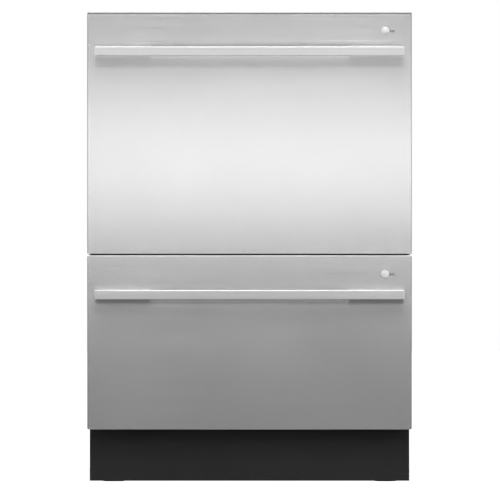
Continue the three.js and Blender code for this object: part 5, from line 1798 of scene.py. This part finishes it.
@dataclass
class WashLid(DrawerPart):
    """The lid that drops onto one tub's rim, with its ribs and its seal."""

    floor: float = 3 * MM
    corner: float = 34 * MM
    edge: float = 2 * MM
    lip: float = 0.5 * MM
    seal_margin: float = 1 * MM
    ear_height: float = 8 * MM
    ear_half: float = 13 * MM
    ear_round: float = 0.8 * MM
    rib: float = 2 * MM
    rib_round: float = 0.4 * MM
    rib_inset: float = 3 * MM
    rib_low: float = 1 * MM
    rib_step: float = 1 * MM
    long_ribs: int = 6
    cross_ribs: int = 5

    def build(self) -> None:
        """Builds the lid and its seal."""
        low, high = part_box(self.node("lid"))
        seal_low, seal_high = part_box(self.node("lid_seal"))
        half_x = seal_high.x + self.seal_margin
        edge, inset, half_rib = self.edge, self.rib_inset, self.rib / 2
        form = Form()
        face, ring = form.rounded_plate(
            (-half_x + edge, low.y + edge), (half_x - edge, high.y - edge), low.z, self.corner - edge,
        )
        upright = high.z - low.z - edge - self.lip
        for outward, up in ((1.4 * MM, 0.6 * MM), (0.6 * MM, 1.4 * MM), (0.0, upright), (-self.lip, self.lip)):
            ring = form.rise(ring, outward, up)
        bmesh.ops.reverse_faces(form.bm, faces=[face])
        form.outward()
        form.walled(form.bm.faces, self.floor)
        bottom, top = low.z + self.rib_low, high.z - self.floor
        for i in range(1, self.long_ribs + 1):
            x = -half_x + 2 * half_x * i / (self.long_ribs + 1)
            form.block((x - half_rib, low.y + inset, bottom), (x + half_rib, high.y - inset, top), self.rib_round, 1)
        for i in range(1, self.cross_ribs + 1):
            y = low.y + (high.y - low.y) * i / (self.cross_ribs + 1)
            form.block((-half_x + inset, y - half_rib, bottom), (half_x - inset, y + half_rib, top - self.rib_step),
                       self.rib_round, 1)
        middle = (low.y + high.y) / 2
        for x0, x1 in ((half_x - edge, high.x), (low.x, -half_x + edge)):
            form.block((x0, middle - self.ear_half, low.z), (x1, middle + self.ear_half, low.z + self.ear_height),
                       self.ear_round)
        self.add(form, "lid_tray", LID_GREY, "lid", "wash_lid")

        radius = (seal_high.z - seal_low.z) / 2
        x, y0, y1, z = seal_high.x - radius, seal_low.y + radius, seal_high.y - radius, seal_low.z + radius
        path = [(0, y0, z), (x, y0, z), (x, y1, z), (-x, y1, z), (-x, y0, z)]
        seal = Form()
        seal.wire(path, radius, self.corner - radius, closed=True, sides=14, bend_steps=9)
        self.add(seal, "lid_gasket", SEAL, "lid_seal", "wash_lid", smooth=50)
        for side in Side:
            dress_node(self.node(f"{side.name.lower()}_lid_lifter"), GREY)


# ----- Cabinet -----


@dataclass
class Cabinet:
    """The fixed part: folded wrapper, back, tray, rail, toe kick, feet, slides and service connections."""

    sheet: float = 1.2 * MM
    fold: float = 3 * MM
    kick_sheet: float = 1.5 * MM
    kick_round: float = 0.7 * MM
    kick_return_height: float = 20.2 * MM
    kick_return_start: float = 0.4 * MM
    kick_return_round: float = 0.5 * MM
    bead: float = 2.4 * MM
    top_bead: float = 2.0 * MM
    slope: float = 3.5 * MM
    side_rows: Sequence[tuple[float, float]] = ((0.13, 0.37), (0.46, 0.81))
    side_spans: Sequence[tuple[float, float]] = ((0.05, 0.30), (0.36, 0.64), (0.70, 0.95))
    top_place: float = 150 * MM
    top_half: float = 70 * MM
    top_margin: float = 100 * MM
    screw_radius: float = 4 * MM
    screw_sink: float = 0.1 * MM
    side_screws: Sequence[float] = (0.16, 0.42, 0.70)
    side_screw_inset: float = 12 * MM
    top_screw_x: float = 200 * MM
    top_screw_inset: float = 14 * MM
    top_screw_sink: float = 0.3 * MM
    back_sheet: float = 1 * MM
    back_fold: float = 2 * MM
    back_beads: int = 5
    back_bead_spacing: float = 112.5 * MM
    back_bead_half: float = 30 * MM
    back_bead_margin: float = 50 * MM
    back_screw_radius: float = 3.6 * MM
    back_screw_x: float = 282 * MM
    back_screws: Sequence[float] = (0.165, 0.4, 0.62, 0.845)
    pad: Profile = ((0, 0), (18, 0), (20, 0.6), (21, 2), (21, 6), (19.5, 8), (14, 10), (11, 11), (0, 11))
    pad_top: float = 10 * MM
    hexagon: float = 10 * MM
    hexagon_round: float = 0.7 * MM
    thread_pitch: float = 2 * MM
    thread_core: float = 5.1 * MM
    thread_crest: float = 6 * MM
    thread_end: float = 4.6 * MM
    block_depth: float = 13 * MM
    block_round: float = 1.6 * MM
    block_screw: float = 3.4 * MM
    block_screw_inset: float = 10 * MM
    service_drop: float = 29 * MM
    inlet_place: float = 33 * MM
    inlet_threads: int = 5
    inlet_thread: Profile = ((12.2, 0.8), (13, 1.6), (13, 2.0))
    inlet_mouth: Profile = ((12, 0), (8.9, 0))
    drain_place: float = 82.5 * MM
    drain_barbs: Profile = ((9.5, -1), (9.5, 1), (8, 1.5), (8, 3), (9.5, 4), (8, 6.6), (9.5, 7.6))
    drain_mouth: Profile = ((8, -0.6), (7.6, 0), (6.5, 0))
    gland_place: float = 124.5 * MM
    gland_radius: float = 8 * MM
    gland_mouth: Profile = ((7, -0.8), (6.4, 0), (5.5, 0))
    bore_floor: float = 1.2
    ribs: int = 6
    rib_start: float = 20 * MM
    rib_spacing: float = 22 * MM
    rib_width: float = 2 * MM
    rib_proud: float = 4 * MM
    rib_span: Point = (6 * MM, 48 * MM)
    rib_round: float = 0.6 * MM

    def build(self) -> None:
        """Builds the cabinet's pieces and dresses those that keep their shape."""
        self.wrapper()
        self.back()
        self.toe_kick()
        for foot in ("front_left", "front_right", "rear_left", "rear_right"):
            self.foot(foot)
        self.services()
        dress_node("base_tray", ZINC)
        dress_node("middle_rail", BLACK)
        for level in Level:
            for side in Side:
                for member in ("outer", "middle", "inner"):
                    dress_node(f"{level.value}_{side.name.lower()}_slide_{member}", RUNNER_STEEL)

    def wrapper(self) -> None:
        """Folds the top and sides from sheet, with pressed beads and the toe space cut out."""
        low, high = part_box("cabinet_wrapper")
        kick_low, kick_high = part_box("toe_kick")
        form = Form()
        form.block(low, high)
        form.opened(-Y_AXIS, Y_AXIS, -Z_AXIS)
        form.bevel(form.folds(), self.fold, 4)
        toe_y = kick_low.y + self.kick_sheet + SEAT_GAP
        toe_z = kick_high.z + SEAT_GAP
        for side in Side:
            toe = form.carved(form.face_towards(X_AXIS * side.value), (0, low.y - 1, low.z - 1), (0, toe_y, toe_z))
            bmesh.ops.delete(form.bm, geom=[toe], context="FACES")
        depth = high.y - toe_y
        for side in Side:
            for z0, z1 in self.side_rows:
                for start, end in self.side_spans:
                    first, last = (0, toe_y + depth * start, z0), (0, toe_y + depth * end, z1)
                    self.press_bead(form, X_AXIS * side.value, first, last, self.bead)
        for x in (-self.top_place, self.top_place):
            first = (x - self.top_half, low.y + self.top_margin, 0)
            last = (x + self.top_half, high.y - self.top_margin, 0)
            self.press_bead(form, Z_AXIS, first, last, self.top_bead)
        form.walled(form.bm.faces, self.sheet)
        for side in Side:
            for z in self.side_screws:
                spot = (side.value * (high.x - self.screw_sink), low.y + self.side_screw_inset, z)
                form.screw(spot, X_AXIS * side.value, self.screw_radius)
        for x in (-self.top_screw_x, self.top_screw_x):
            spot = (x, low.y + self.top_screw_inset, high.z - self.top_screw_sink)
            form.screw(spot, Z_AXIS, self.screw_radius)
        form.piece("cabinet_shell", ZINC, "cabinet", ["cabinet_wrapper"], smooth=24)

    def press_bead(self, form: Form, way: Vector, low: Point, high: Point, depth: float) -> None:
        """Presses one flat bead into sheet.

        Args:
            form: the sheet.
            way: the way that its face looks.
            low: lowest corner of the bead.
            high: highest corner.
            depth: how far it stands out, or in where it is negative.
        """
        form.bm.normal_update()
        axes = [i for i in range(3) if abs(way[i]) < 0.5]
        near = 0.01 * MM

        def holds(face: BMFace) -> bool:
            """Whether the bead lies inside the face."""
            return face.normal.dot(way) > 0.99 and all(
                min(v.co[i] for v in face.verts) < low[i] + near and max(v.co[i] for v in face.verts) > high[i] - near
                for i in axes
            )

        sheet = max(filter(holds, form.bm.faces), key=lambda face: face.calc_area())
        form.pressed(form.carved(sheet, low, high), self.slope, depth)

    def back(self) -> None:
        """Presses the rear panel with its upright beads and screws it on."""
        low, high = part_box("rear_panel")
        form = Form()
        form.block(low, high)
        form.opened(-Y_AXIS)
        form.bevel(form.folds(), self.back_fold, 3)
        half, margin = self.back_bead_half, self.back_bead_margin
        for i in range(self.back_beads):
            x = (i - (self.back_beads - 1) / 2) * self.back_bead_spacing
            self.press_bead(form, Y_AXIS, (x - half, 0, low.z + margin), (x + half, 0, high.z - margin), -self.bead)
        form.walled(form.bm.faces, self.back_sheet)
        for x in (-self.back_screw_x, self.back_screw_x):
            for z in self.back_screws:
                form.screw((x, high.y - self.screw_sink, z), Y_AXIS, self.back_screw_radius)
        form.piece("back_panel", ZINC, "cabinet", ["rear_panel"], smooth=24)

    def toe_kick(self) -> None:
        """Makes the black kick plate with its rolled edges and side returns."""
        low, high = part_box("toe_kick")
        sheet = self.kick_sheet
        form = Form()
        form.block(low, (high.x, low.y + sheet, high.z), self.kick_round, 3)
        for x in (low.x, high.x - sheet):
            form.block((x, low.y + self.kick_return_start, low.z),
                       (x + sheet, high.y, low.z + self.kick_return_height), self.kick_return_round)
        form.piece("kick_plate", KICK_BLACK, "cabinet", ["toe_kick"])

    def foot(self, name: str) -> None:
        """Turns one levelling foot: ribbed pad, hexagon and threaded stem.

        Args:
            name: the corner that it stands at.
        """
        low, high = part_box(f"{name}_foot")
        middle = Vector(((low.x + high.x) / 2, (low.y + high.y) / 2, 0))
        form = Form()
        form.turned(in_mm(self.pad), middle, Z_AXIS, 40)
        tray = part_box("base_tray")[0].z - SEAT_GAP
        start, end, clear = self.pad_top, self.thread_end, 1 * MM
        nut = bmesh.ops.create_cone(
            form.bm, cap_ends=True, segments=6, radius1=self.hexagon, radius2=self.hexagon, depth=tray - start,
            matrix=Matrix.Translation(middle + Z_AXIS * (start + tray) / 2),
        )["verts"]
        form.bevel(edges_of(nut), self.hexagon_round)
        stem = [(0.0, start), (end, tray - clear)]
        z, pitch, core, crest = tray, self.thread_pitch, self.thread_core, self.thread_crest
        while z + pitch < high.z - clear:
            stem += [(core, z), (crest, z + 0.4 * pitch), (crest, z + 0.6 * pitch)]
            z += pitch
        form.turned([*stem, (core, z), (end, high.z), (0.0, high.z)], middle, Z_AXIS, 20)
        form.piece(f"{name}_screw_foot", BLACK, f"{name}_foot_body", [f"{name}_foot"])

    def services(self) -> None:
        """Builds the block with the threaded water inlet, the ribbed drain outlet and the cable gland."""
        low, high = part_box("service_connections")
        plate = low.y + self.block_depth
        form = Form()
        form.block(low, (high.x, plate, high.z), self.block_round, 3)
        inset = self.block_screw_inset
        for x in (low.x + inset, high.x - inset):
            for z in (low.z + inset, high.z - inset):
                form.screw((x, plate, z), Y_AXIS, self.block_screw)
        z, length = high.z - self.service_drop, high.y - plate
        inlet = in_mm([(13, -1)])
        for i in range(self.inlet_threads):
            inlet += in_mm(self.inlet_thread, 0.0, 2 * i * MM)
        gland = [(self.gland_radius, -1 * MM), (self.gland_radius, 0.7 * length)]
        for profile, mouth, place, steps in (
            (inlet, self.inlet_mouth, self.inlet_place, 40),
            (in_mm(self.drain_barbs), self.drain_mouth, self.drain_place, 36),
            (gland, self.gland_mouth, self.gland_place, 6),
        ):
            bore = in_mm([(mouth[-1][0], self.bore_floor), (0, self.bore_floor)])
            form.turned(profile + in_mm(mouth, 0.0, length) + bore, (low.x + place, plate, z), Y_AXIS, steps)
        bottom, top = (low.z + end for end in self.rib_span)
        for i in range(self.ribs):
            x = low.x + self.rib_start + i * self.rib_spacing
            form.block((x, plate - 1 * MM, bottom), (x + self.rib_width, plate + self.rib_proud, top),
                       self.rib_round)
        form.piece("service_block", GREY, "cabinet", ["service_connections"])


# ----- Studio -----


@dataclass(frozen=True)
class Softbox:
    """One rectangular lamp: its place, the point that it faces, its size and its brightness."""

    name: str
    place: Point
    target: Point
    width: float
    height: float
    radiance: float

    def hang(self) -> None:
        """Adds the lamp to the scene, unseen by the camera."""
        data = bpy.data.lights.new(self.name, "AREA")
        data.shape = "RECTANGLE"
        data.size, data.size_y = self.width, self.height
        data.energy = self.radiance * math.pi * self.width * self.height
        lamp = linked(self.name, data)
        lamp.location = self.place
        lamp.rotation_euler = (Vector(self.target) - Vector(self.place)).to_track_quat("-Z", "Y").to_euler()
        lamp.visible_camera = False


@dataclass
class Studio:
    """Floor, reflected cards, lamps, world and camera."""

    middle_x: float = 0.9 * MM
    eye_height: float = 0.4282
    distance: float = 24.0
    frame_width: float = 0.9228
    world_light: float = 0.15
    floor_half: float = 30.0
    floor_colour: float = 0.8
    floor_lift: float = 0.76
    far_lift: float = 1.0
    far_from: tuple[float, float] = (1.2, 4.0)
    card_half: float = 1.15
    floor_card_place: Point = (0, -2.45, 0.001)
    floor_card_half: float = 2.05
    curtain_place: Point = (0, -4.5, 4.2)
    curtain_half: float = 4.2
    curtain_level: float = 0.24
    floor_card_level: float = 0.26
    boxes: Sequence[Softbox] = (
        Softbox("front_strip", (0, -1.455, 0.6), (0, 0, 0.6), 3.4, 0.2, 2.15),
        Softbox("upper_softbox", (0, -2.07, 2.25), (0, 0, 0.9), 1.1, 1.4, 9.0),
        Softbox("right_softbox", (2.2, -2.4, 1.2), (0, -0.2, 0.5), 2.4, 2.0, 1.7),
        Softbox("left_softbox", (-2.2, -2.4, 1.2), (0, -0.2, 0.5), 2.4, 2.0, 1.0),
        Softbox("rear_softbox", (-1.6, 2.6, 2.4), (0, 0.2, 0.4), 1.8, 1.2, 0.9),
    )

    def build(self) -> None:
        """Sets the scene around the machine."""
        bpy.context.scene.view_settings.view_transform = "Standard"
        self.world()
        self.floor()
        flat = Matrix.Diagonal((self.card_half, self.floor_card_half, 1, 1))
        self.card("floor_card", Matrix.Translation(self.floor_card_place) @ flat, self.floor_card_level)
        upright = Matrix.Rotation(math.pi / 2, 4, "X") @ Matrix.Diagonal((self.card_half, self.curtain_half, 1, 1))
        self.card("curtain", Matrix.Translation(self.curtain_place) @ upright, self.curtain_level)
        for box in self.boxes:
            box.hang()
        self.camera()

    def world(self) -> None:
        """A white surround for the eye and for gloss, and a plain soft light for everything else."""
        world = bpy.data.worlds.new("studio")
        world.use_nodes = True
        bpy.context.scene.world = world
        tree = Tree(world.node_tree)
        background = world.node_tree.nodes["Background"]
        path = tree.add("LightPath").outputs
        seen = tree.math("MAXIMUM", path["Is Camera Ray"], path["Is Glossy Ray"])
        seen = tree.math("MAXIMUM", seen, path["Is Transmission Ray"])
        tree.filled(background, Color=WHITE, Strength=tree.ranged(seen, (0.0, 1.0), (self.world_light, 1.0)))

    def plane(self, name: str, place: Matrix) -> bpy.types.Object:
        """Adds a flat stage piece.

        Args:
            name: its name.
            place: where it stands, from a square two metres wide.

        Returns:
            The piece.
        """
        bm = bmesh.new()
        bmesh.ops.create_grid(bm, x_segments=1, y_segments=1, size=1.0, matrix=place)
        mesh = bpy.data.meshes.new(name)
        bm.to_mesh(mesh)
        bm.free()
        made = linked(name, mesh)
        material = bpy.data.materials.new(name + "_paint")
        material.use_nodes = True
        mesh.materials.append(material)
        return made

    def floor(self) -> None:
        """A wide pale floor that keeps the machine's shadow."""
        floor = self.plane("floor", Matrix.Diagonal((self.floor_half, self.floor_half, 1, 1)))
        node_tree = floor.data.materials[0].node_tree
        tree = Tree(node_tree)
        shader = node_tree.nodes["Principled BSDF"]
        paint = (*(self.floor_colour,) * 3, 1)
        tree.filled(shader, Base_Color=paint, Roughness=0.9, Specular_IOR_Level=0.1, Emission_Color=WHITE)
        away = tree.filled(tree.add("VectorMath", operation="LENGTH"), tree.object_place())
        lift = tree.ranged(away.outputs["Value"], self.far_from, (self.floor_lift, self.far_lift))
        path = tree.add("LightPath").outputs
        tree.put(shader.inputs["Emission Strength"], tree.math("MULTIPLY", path["Is Camera Ray"], lift))

    def card(self, name: str, place: Matrix, level: float) -> None:
        """Adds a plain grey card that only reflections show.

        Args:
            name: its name.
            place: where it stands, from a square two metres wide.
            level: how bright it is.
        """
        card = self.plane(name, place)
        node_tree = card.data.materials[0].node_tree
        Tree(node_tree).filled(
            node_tree.nodes["Principled BSDF"],
            Base_Color=(0, 0, 0, 1), Specular_IOR_Level=0.0, Emission_Color=WHITE, Emission_Strength=level,
        )
        card.visible_camera = False
        card.visible_diffuse = False
        card.visible_shadow = False

    def camera(self) -> None:
        """Places the camera straight in front, far away, as the photograph was taken."""
        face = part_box("upper_front_panel")[0].y
        data = bpy.data.cameras.new("camera")
        data.sensor_width = 36.0
        data.lens = data.sensor_width * self.distance / self.frame_width
        data.clip_end = 200.0
        camera = linked("camera", data)
        camera.location = (self.middle_x, face - self.distance, self.eye_height)
        camera.rotation_euler = (math.pi / 2, 0, 0)
        bpy.context.scene.camera = camera


def main() -> None:
    """Builds the machine and its studio."""
    logging.basicConfig(level=logging.INFO, format="%(message)s")
    Cabinet().build()
    for level in Level:
        for part in (DrawerFront, ControlStrip, WashTub, DishRack, Dispenser, WashLid):
            part(level).build()
    Studio().build()


if __name__ == "__main__":
    main()
